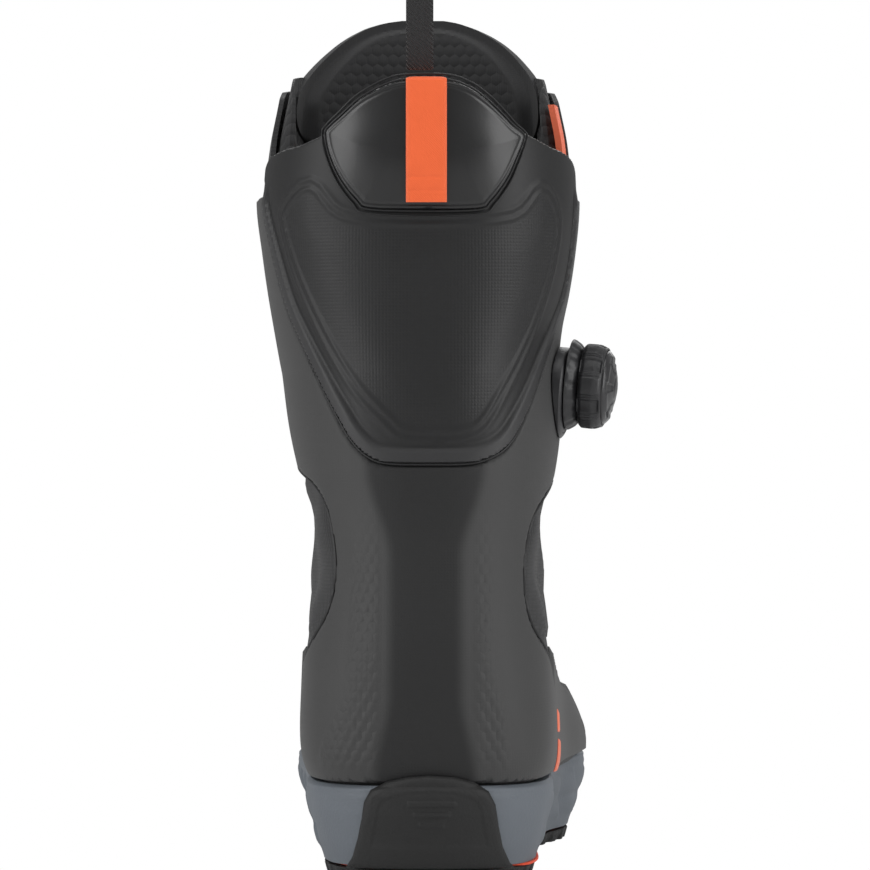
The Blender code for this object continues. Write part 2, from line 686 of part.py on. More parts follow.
def make_guides(finish):
    """Low grooved posts along both edges of the throat, which turn the lace."""
    foot = SHELL_WALL + FIT
    groove = LACE_R + 0.3
    low, high = LACE_T - groove - foot, LACE_T + groove - foot
    profile = [
        (0, 0), (GUIDE_FLANGE_R, 0), (GUIDE_FLANGE_R, low * 0.6), (GUIDE_POST_R, low),
        (GUIDE_POST_R, high), (GUIDE_FLANGE_R, high + 0.3), (GUIDE_FLANGE_R - 0.6, high + GUIDE_FLANGE),
        (0, high + GUIDE_FLANGE),
    ]
    for side, word in ((1, "outer"), (-1, "inner")):
        for k, s in enumerate(GUIDE_SECTIONS):
            name = f"lace_guide_{word}_{k + 1}"
            p, _, up, out, _, _ = local_frame(s, guide_angle(s, side), foot + 0.35)
            add_object(name, place(turned(name, profile, 16), p, out, up), finish)


def lace_exit():
    """The lace inside the housing's wall and clear of the base's rim, towards the throat."""
    origin, out, up = reel_axis()
    ahead = np.cross(out, up)
    ahead = ahead if ahead[1] > 0 else -ahead
    lift = origin + out * (GAP + 1.9)
    return lift + ahead * (HOUSING_R - 3.6), lift + ahead * (REEL_BASE_R + 5.5)


def lace_points():
    """The lace's middle line: from the reel, over the throat from side to side, down to its
    fixed end on the lowest inner guide."""
    turn = GUIDE_POST_R + LACE_R + 0.25
    foot = SHELL_WALL + FIT
    stops = []
    for s in reversed(GUIDE_SECTIONS):
        stops += [(s, 1), (s, -1)]
    _, _, _, _, size_a, size_s = local_frame(REEL_S, REEL_A, LACE_T)
    points = list(lace_exit())
    route_end = (REEL_S + 6 / size_s, REEL_A - 38.0 / size_a, LACE_T + 0.3)
    points.append(form(*route_end))
    for k, (s, side) in enumerate(stops):
        a = guide_angle(s, side)
        p, round_, up, out, size_a, size_s = local_frame(s, a, foot + 0.35)
        middle = p + out * (LACE_T - foot)
        # Over the tongue to the post's upper side, then round its outside to the lower side.
        last_s, last_a, last_t = route_end
        goal = (s + (turn if k else -turn) / size_s, a, LACE_T)
        steps = 7 if k else 5
        for j in range(1, steps):
            u = j / steps
            points.append(form(*(x + (y - x) * u for x, y in zip((last_s, last_a, last_t), goal))))
        for degrees in np.linspace(90, -90, 8) if k else [-90.0]:
            angle = math.radians(degrees)
            points.append(middle + turn * (round_ * side * math.cos(angle) + up * math.sin(angle)))
        route_end = (s - turn / size_s, a, LACE_T)
    return np.array(points)


def make_lace(finish):
    line = lace_points()
    tangent = np.gradient(line, axis=0)
    tangent /= np.linalg.norm(tangent, axis=1, keepdims=True)
    normal = np.cross(tangent, [0.37, 0.21, 0.9])
    frames = []
    last = normal[0]
    for direction in tangent:
        last = last - direction * np.dot(last, direction)
        last = last / np.linalg.norm(last)
        frames.append((last, np.cross(direction, last)))
    angles = np.linspace(0, 2 * math.pi, 6, endpoint=False)
    rings = [
        [p + LACE_R * (math.cos(v) * n + math.sin(v) * b) for v in angles]
        for p, (n, b) in zip(line, frames)
    ]
    add_object("lace", stack("lace", rings), finish)


def reel_axis():
    """The reel's foot, the direction it faces, and a direction up across it. The foot is the
    middle of the base's flat top, which clears the cuff by the base's least thickness."""
    turn = np.linspace(0, 2 * math.pi, 24, endpoint=False)
    foot = SHELL_WALL + FIT + BACK_WALL + 2 * GAP
    p, _, _, _, size_a, size_s = local_frame(REEL_S, REEL_A, foot)
    down, back = math.radians(REEL_DOWN), math.radians(REEL_BACK)
    out = np.array([math.cos(down) * math.cos(back), -math.cos(down) * math.sin(back), -math.sin(down)])
    rim = form(
        REEL_S + REEL_BASE_R * np.sin(turn) / size_s, REEL_A + REEL_BASE_R * np.cos(turn) / size_a, foot
    )
    high = max(np.max((rim - p) @ out), 0.0) + REEL_BASE_WALL
    up = np.array([0.0, 0.0, 1.0])
    up = up - out * np.dot(up, out)
    return p + out * high, out, up / np.linalg.norm(up)


def make_reel(plastic, metal):
    """A base fitted to the cuff, a housing with a spool in it, and a knob that lifts and turns."""
    foot = SHELL_WALL + FIT + BACK_WALL + 2 * GAP
    origin, out, up = reel_axis()
    _, _, _, _, size_a, size_s = local_frame(REEL_S, REEL_A, foot)
    r = np.array([0.0, 0.35, 0.7, 0.93, 1.0])[:, None] * REEL_BASE_R
    turn = np.linspace(0, 2 * math.pi, 24, endpoint=False)[None, :]
    inner = form(REEL_S + r * np.sin(turn) / size_s, REEL_A + r * np.cos(turn) / size_a, foot)
    rise = (origin - inner) @ out
    rise[-1] -= 0.5
    base = wall("reel_base", inner, inner + rise[..., None] * out, wrap=True, pole=True)
    add_object("reel_base", base, plastic)
    origin = origin + out * GAP
    high = HOUSING_HEIGHT
    inner_r = HOUSING_TOP_R - HOUSING_WALL
    bore = POST_R + GAP
    cup = [
        (HOUSING_R, 0), (HOUSING_TOP_R + 1.5, high * 0.7), (HOUSING_TOP_R, high), (bore, high),
        (bore, high - 1.2), (inner_r, high - 1.2), (inner_r, 0),
    ]
    housing = add_object("reel_housing", place(turned("reel_housing", cup), origin, out, up), plastic)
    exit_at = lace_exit()[0]
    slot = turned("lace_exit", [(0, -9), (1.1, -9), (1.1, 9), (0, 9)], 10)
    cut(housing, place(slot, exit_at, np.cross(up, out), out))
    top = high - 1.2 - GAP
    spool = [
        (2.4, GAP), (inner_r - GAP, GAP), (inner_r - GAP, 0.9), (6.5, 0.9), (6.5, top - 0.6),
        (inner_r - GAP, top - 0.6), (inner_r - GAP, top), (2.4, top),
    ]
    add_object("spool", place(turned("spool", spool, 20), origin, out, up), metal)
    knob_foot = high + GAP
    core_r = KNOB_R - 2.6
    core = [
        (0, knob_foot - 3.4), (2.4 - GAP, knob_foot - 3.4), (2.4 - GAP, knob_foot), (core_r, knob_foot),
        (core_r, knob_foot + 2.0), (0, knob_foot + 2.0),
    ]
    pull = pivot("dial_pull", origin + out * knob_foot)
    turn_pivot = pivot("dial_turn", origin + out * (knob_foot + 2.0))
    turn_pivot.parent = pull
    turn_pivot.matrix_parent_inverse = pull.matrix_world.inverted()
    add_object("knob_core", place(turned("knob_core", core), origin, out, up), metal, pull)

    def lobes(angle):
        return 1.022 + 0.022 * np.cos(6 * angle) ** 3

    rim = knob_foot + KNOB_HEIGHT
    grip = [
        (core_r + GAP, knob_foot), (KNOB_R - 0.5, knob_foot), (KNOB_R, knob_foot + 1),
        (KNOB_R - 0.2, rim - 1.5), (KNOB_R - 1.2, rim), (core_r + GAP, rim),
    ]
    ring = place(turned("knob_grip", grip, 36, lobes), origin, out, up)
    add_object("knob_grip", ring, plastic, turn_pivot)
    cap = [
        (0, knob_foot + 2.0 + GAP), (core_r, knob_foot + 2.0 + GAP), (core_r, rim + 0.8), (core_r - 3, rim + 3.0),
        (core_r - 7, rim + 4.2), (0, rim + 4.4),
    ]
    add_object("knob_cap", place(turned("knob_cap", cap), origin, out, up), plastic, turn_pivot)


# ---------------------------------------------------------------- webbing
def make_webbing(orange, black):
    back_s = height(300.0)
    collar_y = float(form(back_s, math.pi, 0.0)[1])
    collar_top = float(form(2.73, math.pi, 0.0)[2])
    dome_out = SHELL_WALL + INSERT_WALL + 2 * FIT + DOME_WALL
    fold_z = collar_top + GAP + TAB_WALL / 2 + 0.4
    tab_y = collar_y - dome_out - GAP - TAB_WALL / 2
    anchor = [
        (collar_y + LINER_WALL - 1, fold_z), (collar_y + 2, fold_z + 0.5), (collar_y - 3, fold_z + 0.6),
        (tab_y + 2.0, fold_z + 0.2), (tab_y, fold_z - 1.2),
    ]
    mesh = ribbon("tab_anchor", curve_through(anchor, 3, closed=False), TAB_WIDTH, TAB_WALL, -1.0)
    add_object("tab_anchor", mesh, orange)
    hinge_z = fold_z - 1.2 - TAB_WALL
    hang = pivot("heel_tab_swing", (-1.0, tab_y, hinge_z))
    line = [(tab_y, hinge_z + TAB_WALL * 0.3)]
    line += [(tab_y - 0.6 * math.sin(k / 6 * math.pi), hinge_z - TAB_LENGTH * k / 6) for k in range(1, 7)]
    add_object("heel_tab", ribbon("heel_tab", line, TAB_WIDTH, TAB_WALL, -1.0), orange, hang)
    foot_z = fold_z + 0.6 + TAB_WALL / 2 + GAP + LOOP_WALL / 2
    loop_y = collar_y + 1.0
    loop = [(loop_y, foot_z)]
    for share, half in ((0.08, 0.2), (0.3, 0.4), (0.6, 0.5), (0.85, 0.4), (0.96, 0.2)):
        loop.append((loop_y - LOOP_SPREAD * half, foot_z + LOOP_HEIGHT * share))
    loop.append((loop_y, foot_z + LOOP_HEIGHT))
    for share, half in ((0.96, 0.2), (0.85, 0.4), (0.6, 0.5), (0.3, 0.4), (0.08, 0.2)):
        loop.append((loop_y + LOOP_SPREAD * half, foot_z + LOOP_HEIGHT * share))
    fold = pivot("pull_strap_fold", (-3.5, loop_y, foot_z))
    mesh = ribbon("pull_strap", curve_through(loop, 2), LOOP_WIDTH, LOOP_WALL, -3.5, closed=True)
    add_object("pull_strap", mesh, black, fold)


def make_trim(orange):
    """Small raised pieces: the tag on the collar's outer side and two bars on the quarter."""
    tag_s = height(np.array([273.5, 281.0, 289.5]))
    tag_a = math.radians(84) + np.array([0.0, 0.2])
    add_object("side_tag", layer("side_tag", tag_s, tag_a, -GAP, 0.9), orange)
    t = SHELL_WALL + BACK_WALL + 2 * FIT
    for k, s in enumerate((1.23, 1.33)):
        rows = np.array([s, s + 0.04, s + 0.07])
        a = math.radians(96) + np.linspace(0, 0.16, 3)[None, :] - (rows - s)[:, None]
        add_object(f"quarter_bar_{k + 1}", layer("quarter_bar", rows, a, t, t + 0.9), orange)


def build():
    for old in list(bpy.data.objects):
        bpy.data.objects.remove(old)
    fabric = material("shell_fabric", (0.058, 0.058, 0.058), 0.8)
    panel = material("panel_plastic", (0.03, 0.03, 0.031), 0.6)
    gloss = material("gloss_vinyl", (0.025, 0.025, 0.025), 0.35)
    lining = material("lining_cloth", (0.018, 0.018, 0.019), 0.9)
    foam = material("grey_foam", (0.13, 0.15, 0.16), 0.75)
    rubber = material("black_rubber", (0.022, 0.022, 0.022), 0.7)
    orange = material("orange_accent", (1.0, 0.14, 0.035), 0.6)
    webbing = material("black_webbing", (0.024, 0.022, 0.023), 0.85)
    plastic = material("reel_plastic", (0.03, 0.03, 0.031), 0.5)
    metal = material("reel_core", (0.25, 0.25, 0.26), 0.4)
    board = material("board_fibre", (0.3, 0.26, 0.2), 0.8)
    base = form(np.array([THROAT_START]), 0.0, SHELL_WALL)[0]
    tongue = pivot("tongue_open", base)
    make_shell(fabric)
    make_liner(lining)
    make_tongues(panel, lining, tongue)
    make_sole_layers(board, foam)
    make_toe_cap(panel)
    make_back_shell(fabric)
    make_back_panel(panel)
    make_dome(gloss)
    make_midsole(foam)
    make_outsole(rubber, orange)
    make_heel_bumper(rubber)
    make_guides(plastic)
    make_lace(webbing)
    make_reel(plastic, metal)
    make_webbing(orange, webbing)
    make_trim(orange)


build()
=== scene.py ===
"""A right-foot snowboard boot: the looks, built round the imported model.

Lengths are in millimetres inside the maths and in metres on the objects. +Z is up, the toe
points along +Y, and the outer side of the foot is +X.

Nearly every piece lies on one form. form(s, a, t) gives a point of it: s is the section
(0 toe, 1 to 2 round the heel, 3 the top of the shaft), a is the angle round the section
(0 front or top, half a turn at the back or sole) and t the distance outside the base layer.
"""

import math

import bpy
import numpy as np
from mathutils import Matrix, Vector


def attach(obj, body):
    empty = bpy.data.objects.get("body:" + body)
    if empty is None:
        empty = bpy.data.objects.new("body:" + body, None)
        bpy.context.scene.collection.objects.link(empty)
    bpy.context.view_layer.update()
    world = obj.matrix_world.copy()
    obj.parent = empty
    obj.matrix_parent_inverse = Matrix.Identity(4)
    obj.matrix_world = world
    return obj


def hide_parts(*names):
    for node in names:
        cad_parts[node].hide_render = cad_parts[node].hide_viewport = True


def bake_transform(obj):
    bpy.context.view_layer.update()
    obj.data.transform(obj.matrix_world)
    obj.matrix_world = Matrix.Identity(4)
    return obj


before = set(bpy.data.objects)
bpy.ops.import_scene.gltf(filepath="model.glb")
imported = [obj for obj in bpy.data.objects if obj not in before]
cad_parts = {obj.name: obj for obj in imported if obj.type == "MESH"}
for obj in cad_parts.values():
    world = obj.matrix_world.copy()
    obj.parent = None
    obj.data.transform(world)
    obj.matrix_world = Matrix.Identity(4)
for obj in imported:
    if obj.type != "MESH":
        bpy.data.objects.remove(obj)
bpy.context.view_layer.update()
MM = 0.001

CUFF_T, PAD_T = 4.9, 8.0  # the layers on which outlines are drawn
ROOT3 = 1.7320508

# ---------------------------------------------------------------- the form
FAN_Y, FAN_Z, TOP_Z = 75.0, 190.0, 340.0
FEATHER, SINK = 30.0, 0.6
TOE_Y, TOE_START, TOE_SHIFT, TOE_ROUND = 150.0, 95.0, -6.0, 2.4
STATIONS = np.array([
    (0.50, 105.0, 148.0, 47.5, 59.5, 1.6, 3.6),
    (1.00, 92.0, 148.0, 48.0, 60.5, 1.5, 3.6),
    (1.17, 79.0, 152.0, 45.5, 56.0, 1.6, 3.6),
    (1.33, 68.0, 164.0, 43.5, 49.5, 1.9, 3.8),
    (1.50, 61.0, 188.0, 44.0, 45.0, 2.3, 3.8),
    (1.59, 60.0, 204.0, 44.0, 43.0, 2.4, 3.4),
    (1.67, 60.0, 196.0, 42.0, 40.5, 2.4, 2.8),
    (1.73, 60.5, 172.0, 41.0, 39.8, 2.4, 2.6),
    (1.79, 61.5, 155.0, 41.2, 39.6, 2.4, 2.5),
    (1.84, 62.5, 145.0, 44.8, 43.0, 2.4, 2.5),
    (1.89, 63.5, 138.0, 48.0, 45.0, 2.4, 2.5),
    (2.00, 65.0, 133.0, 51.8, 44.8, 2.4, 2.5),
    (2.12, 67.0, 134.0, 55.2, 46.4, 2.5, 2.5),
    (2.20, 68.0, 135.0, 57.2, 48.8, 2.5, 2.5),
    (2.31, 69.0, 136.0, 59.4, 51.2, 2.5, 2.5),
    (2.44, 70.0, 137.0, 61.4, 52.8, 2.5, 2.5),
    (2.58, 71.0, 137.5, 59.5, 51.5, 2.5, 2.5),
    (2.72, 72.0, 138.0, 55.5, 47.5, 2.5, 2.5),
    (3.00, 73.0, 139.0, 54.0, 46.0, 2.5, 2.5),
])
BACK_S = (1.00, 1.33, 1.50, 1.59, 1.67, 1.72, 1.78, 1.83, 1.89, 2.00, 2.47, 3.00)
BACK_Q = (800.0, 400.0, 303.0, 274.0, 253.5, 241.5, 225.5, 215.0, 209.0, 205.0, 205.0, 208.0)
THROAT_S = (0.72, 0.80, 1.00, 1.50, 2.00, 2.40, 2.67, 3.00)
THROAT_SHARE = (0.22, 0.36, 0.44, 0.54, 0.68, 0.74, 0.84, 0.86)


def along(x, xs, ys):
    """A smooth curve through (xs, ys): cubic pieces whose slope at each point is its neighbours'."""
    xs, ys = np.asarray(xs, float), np.asarray(ys, float)
    slope = np.gradient(ys, xs)
    x = np.clip(x, xs[0], xs[-1])
    i = np.clip(np.searchsorted(xs, x, side="right") - 1, 0, len(xs) - 2)
    h = xs[i + 1] - xs[i]
    u = (x - xs[i]) / h
    return (
        ys[i] * (1 + 2 * u) * (1 - u) ** 2
        + ys[i + 1] * u * u * (3 - 2 * u)
        + slope[i] * h * u * (1 - u) ** 2
        + slope[i + 1] * h * u * u * (u - 1)
    )


def station(s, column):
    return along(s, STATIONS[:, 0], STATIONS[:, column])


def form(s, a, t=0.0, lift=0.0):
    """Point of the layer t: x = w |sin a|^(2/n), and q, the distance from the fan line,
    = q_mid + (q_end - q_mid) |cos a|^(2/n); then y, z = fan line - q (cos theta, sin theta)."""
    s, a, t = np.broadcast_arrays(np.asarray(s, float), np.asarray(a, float), np.asarray(t, float))
    turn = np.clip(s / 0.5, 0, 1) * math.pi / 2
    reach = np.maximum(np.cos(turn), 0) ** (2 / TOE_ROUND)
    close = np.sin(turn) ** (2 / TOE_ROUND)
    k = np.maximum(s, 0.5)
    theta = np.radians(90 - 90 * np.clip(k - 1, 0, 1))
    q_in = station(k, 1) - t
    q_mid = station(k, 2)
    sole = (FAN_Z - FEATHER) / np.maximum(np.sin(theta), 0.05)
    back = along(k, BACK_S, BACK_Q)
    q_out = (sole**-24.0 + back**-24.0) ** (-1 / 24.0) + t
    q_out = q_out - lift * np.clip((np.degrees(theta) - 30) / 12, 0, 1)
    q_in = q_mid - (q_mid - q_in) * close**0.7 + 13.0 * reach * close**0.7
    q_out = q_mid + (q_out - q_mid) * close**0.3
    half = np.where(np.sin(a) >= 0, station(k, 4), -station(k, 3))
    half = (half + np.sign(half) * t) * close
    front = np.cos(a) >= 0
    n = np.where(front, station(k, 5), station(k, 6))
    bend = np.abs(np.cos(a)) ** (2 / n)
    q = np.where(front, q_mid - (q_mid - q_in) * bend, q_mid + (q_out - q_mid) * bend)
    x = half * np.abs(np.sin(a)) ** (2 / n) + TOE_SHIFT * reach**2
    foot_y = np.where(
        s < 0.5,
        TOE_START + (TOE_Y + t - TOE_START) * reach,
        FAN_Y + (TOE_START - FAN_Y) * np.clip((1 - k) / 0.5, 0, 1),
    )
    rise = (TOP_Z - FAN_Z) * np.clip(k - 2, 0, 1)
    return np.stack([x, foot_y - q * np.cos(theta), FAN_Z + rise - q * np.sin(theta) - SINK], -1)


def height(z):
    return 2 + (np.asarray(z, float) + SINK - FAN_Z) / (TOP_Z - FAN_Z)


def throat_angle(s, side, clearance=0.0):
    half = station(s, 4 if side > 0 else 3)
    share = np.clip(along(s, THROAT_S, THROAT_SHARE) - clearance / half, 0, 0.98)
    return side * np.arcsin(share ** (station(s, 5) / 2))


# A table of w, the length round the section from the middle of the back, towards +X.
TABLE_S = np.linspace(0.5, 3.0, 501)
TABLE_A = np.linspace(0.0, 2 * math.pi, 721)


def round_table(t):
    p = form(TABLE_S[:, None], TABLE_A[None, :], t)
    step = np.linalg.norm(np.diff(p, axis=1), axis=2)
    w = np.concatenate([np.zeros((len(TABLE_S), 1)), np.cumsum(step, axis=1)], axis=1)
    return w[:, [360]] - w


TABLE_W = {t: round_table(t) for t in (CUFF_T, PAD_T)}


def developed(s, a, t=CUFF_T):
    """(w, z) of points of the form: w by looking s and a up in the table, z from the form."""
    i = np.clip((s - 0.5) / 2.5 * 500, 0, 499.999)
    j = np.clip(a / (2 * math.pi) * 720, 0, 719.999)
    i0, j0 = i.astype(int), j.astype(int)
    u, v, table = i - i0, j - j0, TABLE_W[t]
    w = (
        table[i0, j0] * (1 - u) * (1 - v) + table[i0 + 1, j0] * u * (1 - v)
        + table[i0, j0 + 1] * (1 - u) * v + table[i0 + 1, j0 + 1] * u * v
    )
    return w, form(s, a, t)[..., 2]


def smooth(x):
    x = np.clip(x, 0, 1)
    return x * x * (3 - 2 * x)


def bevel(x):
    """Falls from 1 at x = 0 to 0 at x = 1 in a quarter circle."""
    return 1 - np.sqrt(np.clip(1 - (1 - np.clip(x, 0, 1)) ** 2, 0, 1))


def ridge(d, at, wide):
    """A raised line: exp(-((d - at) / wide)^2)."""
    return np.exp(-(((d - at) / wide) ** 2))


def curve_through(points, per_span=6, closed=True):
    """Points of a Catmull-Rom curve through a few drawn ones."""
    p = np.asarray(points, float)
    u = np.linspace(0, 1, per_span, endpoint=False)[None, :, None]
    if closed:
        p0, p1, p2, p3 = (np.roll(p, k, axis=0)[:, None] for k in (1, 0, -1, -2))
    else:
        e = np.concatenate([p[:1], p, p[-1:]])
        p0, p1, p2, p3 = e[:-3, None], e[1:-2, None], e[2:-1, None], e[3:, None]
    out = 0.5 * (
        2 * p1 + (p2 - p0) * u + (2 * p0 - 5 * p1 + 4 * p2 - p3) * u**2
        + (3 * p1 - p0 - 3 * p2 + p3) * u**3
    )
    out = out.reshape(-1, p.shape[1])
    return out if closed else np.concatenate([out, p[-1:]])


def inside(w, z, outline):
    """Signed distance to a closed outline, above 0 inside it."""
    shape = np.shape(w)
    q = np.stack([np.ravel(w), np.ravel(z)], -1)
    start = np.asarray(outline, float)
    end = np.roll(start, -1, axis=0)
    best = np.full(len(q), 1e9)
    odd = np.zeros(len(q), bool)
    for (x0, y0), (x1, y1) in zip(start, end):
        dx, dy = x1 - x0, y1 - y0
        u = np.clip(((q[:, 0] - x0) * dx + (q[:, 1] - y0) * dy) / (dx * dx + dy * dy + 1e-12), 0, 1)
        best = np.minimum(best, (q[:, 0] - x0 - u * dx) ** 2 + (q[:, 1] - y0 - u * dy) ** 2)
        crosses = (y0 > q[:, 1]) != (y1 > q[:, 1])
        odd ^= crosses & (q[:, 0] < dx * (q[:, 1] - y0) / (dy + 1e-12) + x0)
    return (np.sqrt(best) * np.where(odd, 1, -1)).reshape(shape)


# ---------------------------------------------------------------- node groups
def group(name, inputs, outputs):
    tree = bpy.data.node_groups.new(name, "ShaderNodeTree")
    for label, kind, value in inputs:
        socket = tree.interface.new_socket(label, in_out="INPUT", socket_type=kind)
        if value is not None:
            socket.default_value = value
    for label, kind in outputs:
        tree.interface.new_socket(label, in_out="OUTPUT", socket_type=kind)
    return tree, tree.nodes.new("NodeGroupInput"), tree.nodes.new("NodeGroupOutput")


def operate(tree, kind, operation, values, out=0):
    node = tree.nodes.new(kind)
    node.operation = operation
    for socket, value in zip(node.inputs, values):
        if isinstance(value, (int, float, tuple)):
            socket.default_value = value
        else:
            tree.links.new(value, socket)
    return node.outputs[out]


def maths(tree, operation, *values):
    return operate(tree, "ShaderNodeMath", operation, values)


def vector_maths(tree, operation, *values, out=0):
    return operate(tree, "ShaderNodeVectorMath", operation, values, out)


def pattern(name, pitch):
    """A group that turns a place into a height, with the two axes of the place set apart."""
    tree, given, made = group(
        name,
        [("Vector", "NodeSocketVector", None), ("Pitch", "NodeSocketFloat", pitch)],
        [("Height", "NodeSocketFloat")],
    )
    split = tree.nodes.new("ShaderNodeSeparateXYZ")
    tree.links.new(given.outputs["Vector"], split.inputs[0])
    return tree, given.outputs, split.outputs, made.inputs["Height"]


def make_scales():
    """Small six-sided domes: 1 - 3.2 r^2, r the distance to the nearest of two lattices."""
    tree, given, split, height_socket = pattern("hexagon_domes", 0.004)
    per = maths(tree, "DIVIDE", 1.0, given["Pitch"])
    join = tree.nodes.new("ShaderNodeCombineXYZ")
    for axis in (0, 1):
        tree.links.new(maths(tree, "MULTIPLY", split[axis], per), join.inputs[axis])
    found = []
    for shift in ((0.0, 0.0), (0.5, ROOT3 / 2)):
        start = (shift[0] + 400.0, shift[1] + 400 * ROOT3, 0.0)
        moved = vector_maths(tree, "ADD", join.outputs[0], start)
        cell = vector_maths(tree, "MODULO", moved, (1.0, ROOT3, 1.0))
        away = vector_maths(tree, "SUBTRACT", cell, (0.5, ROOT3 / 2, 0.0))
        found.append(vector_maths(tree, "LENGTH", away, out=1))
    square = maths(tree, "POWER", maths(tree, "MINIMUM", *found), 2.0)
    dome = maths(tree, "SUBTRACT", 1.0, maths(tree, "MULTIPLY", square, 3.2))
    tree.links.new(dome, height_socket)
    return tree


def make_weave():
    """Two crossed sets of rounded threads."""
    tree, given, split, height_socket = pattern("crossed_threads", 0.0008)
    per = maths(tree, "DIVIDE", math.pi, given["Pitch"])
    waves = []
    for axis in (0, 1):
        angle = maths(tree, "MULTIPLY", split[axis], per)
        waves.append(maths(tree, "ABSOLUTE", maths(tree, "SINE", angle)))
    tree.links.new(maths(tree, "MULTIPLY", *waves), height_socket)
    return tree


def make_twill():
    """Slanted ribs broken into stitches, for webbing."""
    tree, given, split, height_socket = pattern("slanted_ribs", 0.0016)
    per = maths(tree, "DIVIDE", 2 * math.pi, given["Pitch"])
    across, up = (maths(tree, "MULTIPLY", split[axis], per) for axis in (0, 2))
    rib = maths(tree, "SINE", maths(tree, "ADD", across, up))
    stitch = maths(tree, "SINE", maths(tree, "MULTIPLY", maths(tree, "SUBTRACT", up, across), 2.0))
    parts = [maths(tree, "MULTIPLY", wave, share) for wave, share in ((rib, 0.7), (stitch, 0.3))]
    tree.links.new(maths(tree, "ADD", *parts), height_socket)
    return tree


def make_mottle():
    """Slow and fine noise for uneven colour, uneven gloss and a slight grain."""
    tree, given, made = group(
        "uneven_surface",
        [
            ("Vector", "NodeSocketVector", None),
            ("Slow", "NodeSocketFloat", 25.0),
            ("Fine", "NodeSocketFloat", 900.0),
        ],
        [("Patch", "NodeSocketFloat"), ("Grain", "NodeSocketFloat")],
    )
    for label, out, detail in (("Slow", "Patch", 3.0), ("Fine", "Grain", 2.0)):
        noise = tree.nodes.new("ShaderNodeTexNoise")
        noise.inputs["Detail"].default_value = detail
        tree.links.new(given.outputs["Vector"], noise.inputs["Vector"])
        tree.links.new(given.outputs[label], noise.inputs["Scale"])
        tree.links.new(noise.outputs["Fac"], made.inputs[out])
    return tree


SCALES, WEAVE, TWILL, MOTTLE = make_scales(), make_weave(), make_twill(), make_mottle()


# ---------------------------------------------------------------- materials
def srgb(r, g, b):
    def linear(c):
        c = c / 255
        return c / 12.92 if c <= 0.04045 else ((c + 0.055) / 1.055) ** 2.4

    return (linear(r), linear(g), linear(b), 1.0)


class Finish:
    """A material under way: a Principled shader with bumps and tints added one by one."""

    def __init__(self, name, colour, roughness, metallic=0.0, sheen=0.0, coat=0.0):
        self.made = bpy.data.materials.new(name)
        self.made.use_nodes = True
        self.tree = self.made.node_tree
        self.shader = self.tree.nodes["Principled BSDF"]
        self.shader.inputs["Metallic"].default_value = metallic
        self.shader.inputs["Sheen Weight"].default_value = sheen
        self.shader.inputs["Sheen Roughness"].default_value = 0.5
        self.shader.inputs["Coat Weight"].default_value = coat
        self.shader.inputs["Coat Roughness"].default_value = 0.2
        self.place = self.tree.nodes.new("ShaderNodeTexCoord").outputs["Object"]
        self.normal = None
        mottle = self.add(MOTTLE)
        self.grain = mottle.outputs["Grain"]
        tint = self.tree.nodes.new("ShaderNodeMix")
        tint.data_type = "RGBA"
        tint.inputs["A"].default_value = tuple(c * 0.86 for c in colour[:3]) + (1.0,)
        tint.inputs["B"].default_value = tuple(min(c * 1.12, 1.0) for c in colour[:3]) + (1.0,)
        self.tree.links.new(mottle.outputs["Patch"], tint.inputs["Factor"])
        self.colour = tint.outputs["Result"]
        gloss = self.tree.nodes.new("ShaderNodeMapRange")
        gloss.inputs["To Min"].default_value = roughness - 0.06
        gloss.inputs["To Max"].default_value = roughness + 0.06
        self.tree.links.new(mottle.outputs["Patch"], gloss.inputs["Value"])
        self.tree.links.new(gloss.outputs["Result"], self.shader.inputs["Roughness"])

    def add(self, tree, vector=None, **values):
        node = self.tree.nodes.new("ShaderNodeGroup")
        node.node_tree = tree
        self.tree.links.new(vector or self.place, node.inputs["Vector"])
        for label, value in values.items():
            node.inputs[label].default_value = value
        return node

    def attribute(self, name, output="Fac"):
        node = self.tree.nodes.new("ShaderNodeAttribute")
        node.attribute_name = name
        return node.outputs[output]

    def bump(self, value, strength, distance):
        node = self.tree.nodes.new("ShaderNodeBump")
        node.inputs["Strength"].default_value = strength
        node.inputs["Distance"].default_value = distance
        self.tree.links.new(value, node.inputs["Height"])
        if self.normal is not None:
            self.tree.links.new(self.normal, node.inputs["Normal"])
        self.normal = node.outputs["Normal"]
        return self

    def tint(self, factor, colour):
        node = self.tree.nodes.new("ShaderNodeMix")
        node.data_type = "RGBA"
        node.inputs["B"].default_value = colour
        self.tree.links.new(factor, node.inputs["Factor"])
        self.tree.links.new(self.colour, node.inputs["A"])
        self.colour = node.outputs["Result"]
        return self

    def done(self):
        self.bump(self.grain, 0.25, 0.00012)
        self.tree.links.new(self.colour, self.shader.inputs["Base Color"])
        self.tree.links.new(self.normal, self.shader.inputs["Normal"])
        return self.made


def cloth_finish(name, colour, roughness, patterns, tints=(), sheen=0.0, coat=0.0):
    """A finish with patterns that follow the cloth attribute, and tints by other attributes.
    Each pattern is (group, pitch, the attribute that shows it or None, strength, depth)."""
    f = Finish(name, colour, roughness, sheen=sheen, coat=coat)
    for tree, pitch, shown, strength, depth in patterns:
        value = f.add(tree, f.attribute("cloth", "Vector"), Pitch=pitch).outputs[0]
        if shown:
            value = maths(f.tree, "MULTIPLY", value, f.attribute(shown))
        f.bump(value, strength, depth)
    for label, tint in tints:
        f.tint(f.attribute(label), tint)
    return f.done()


def plain_finish(name, colour, roughness, grain=0.3, coat=0.0, sheen=0.0, metallic=0.0):
    f = Finish(name, colour, roughness, metallic, sheen, coat)
    f.bump(f.grain, grain, 0.00025)
    return f.done()


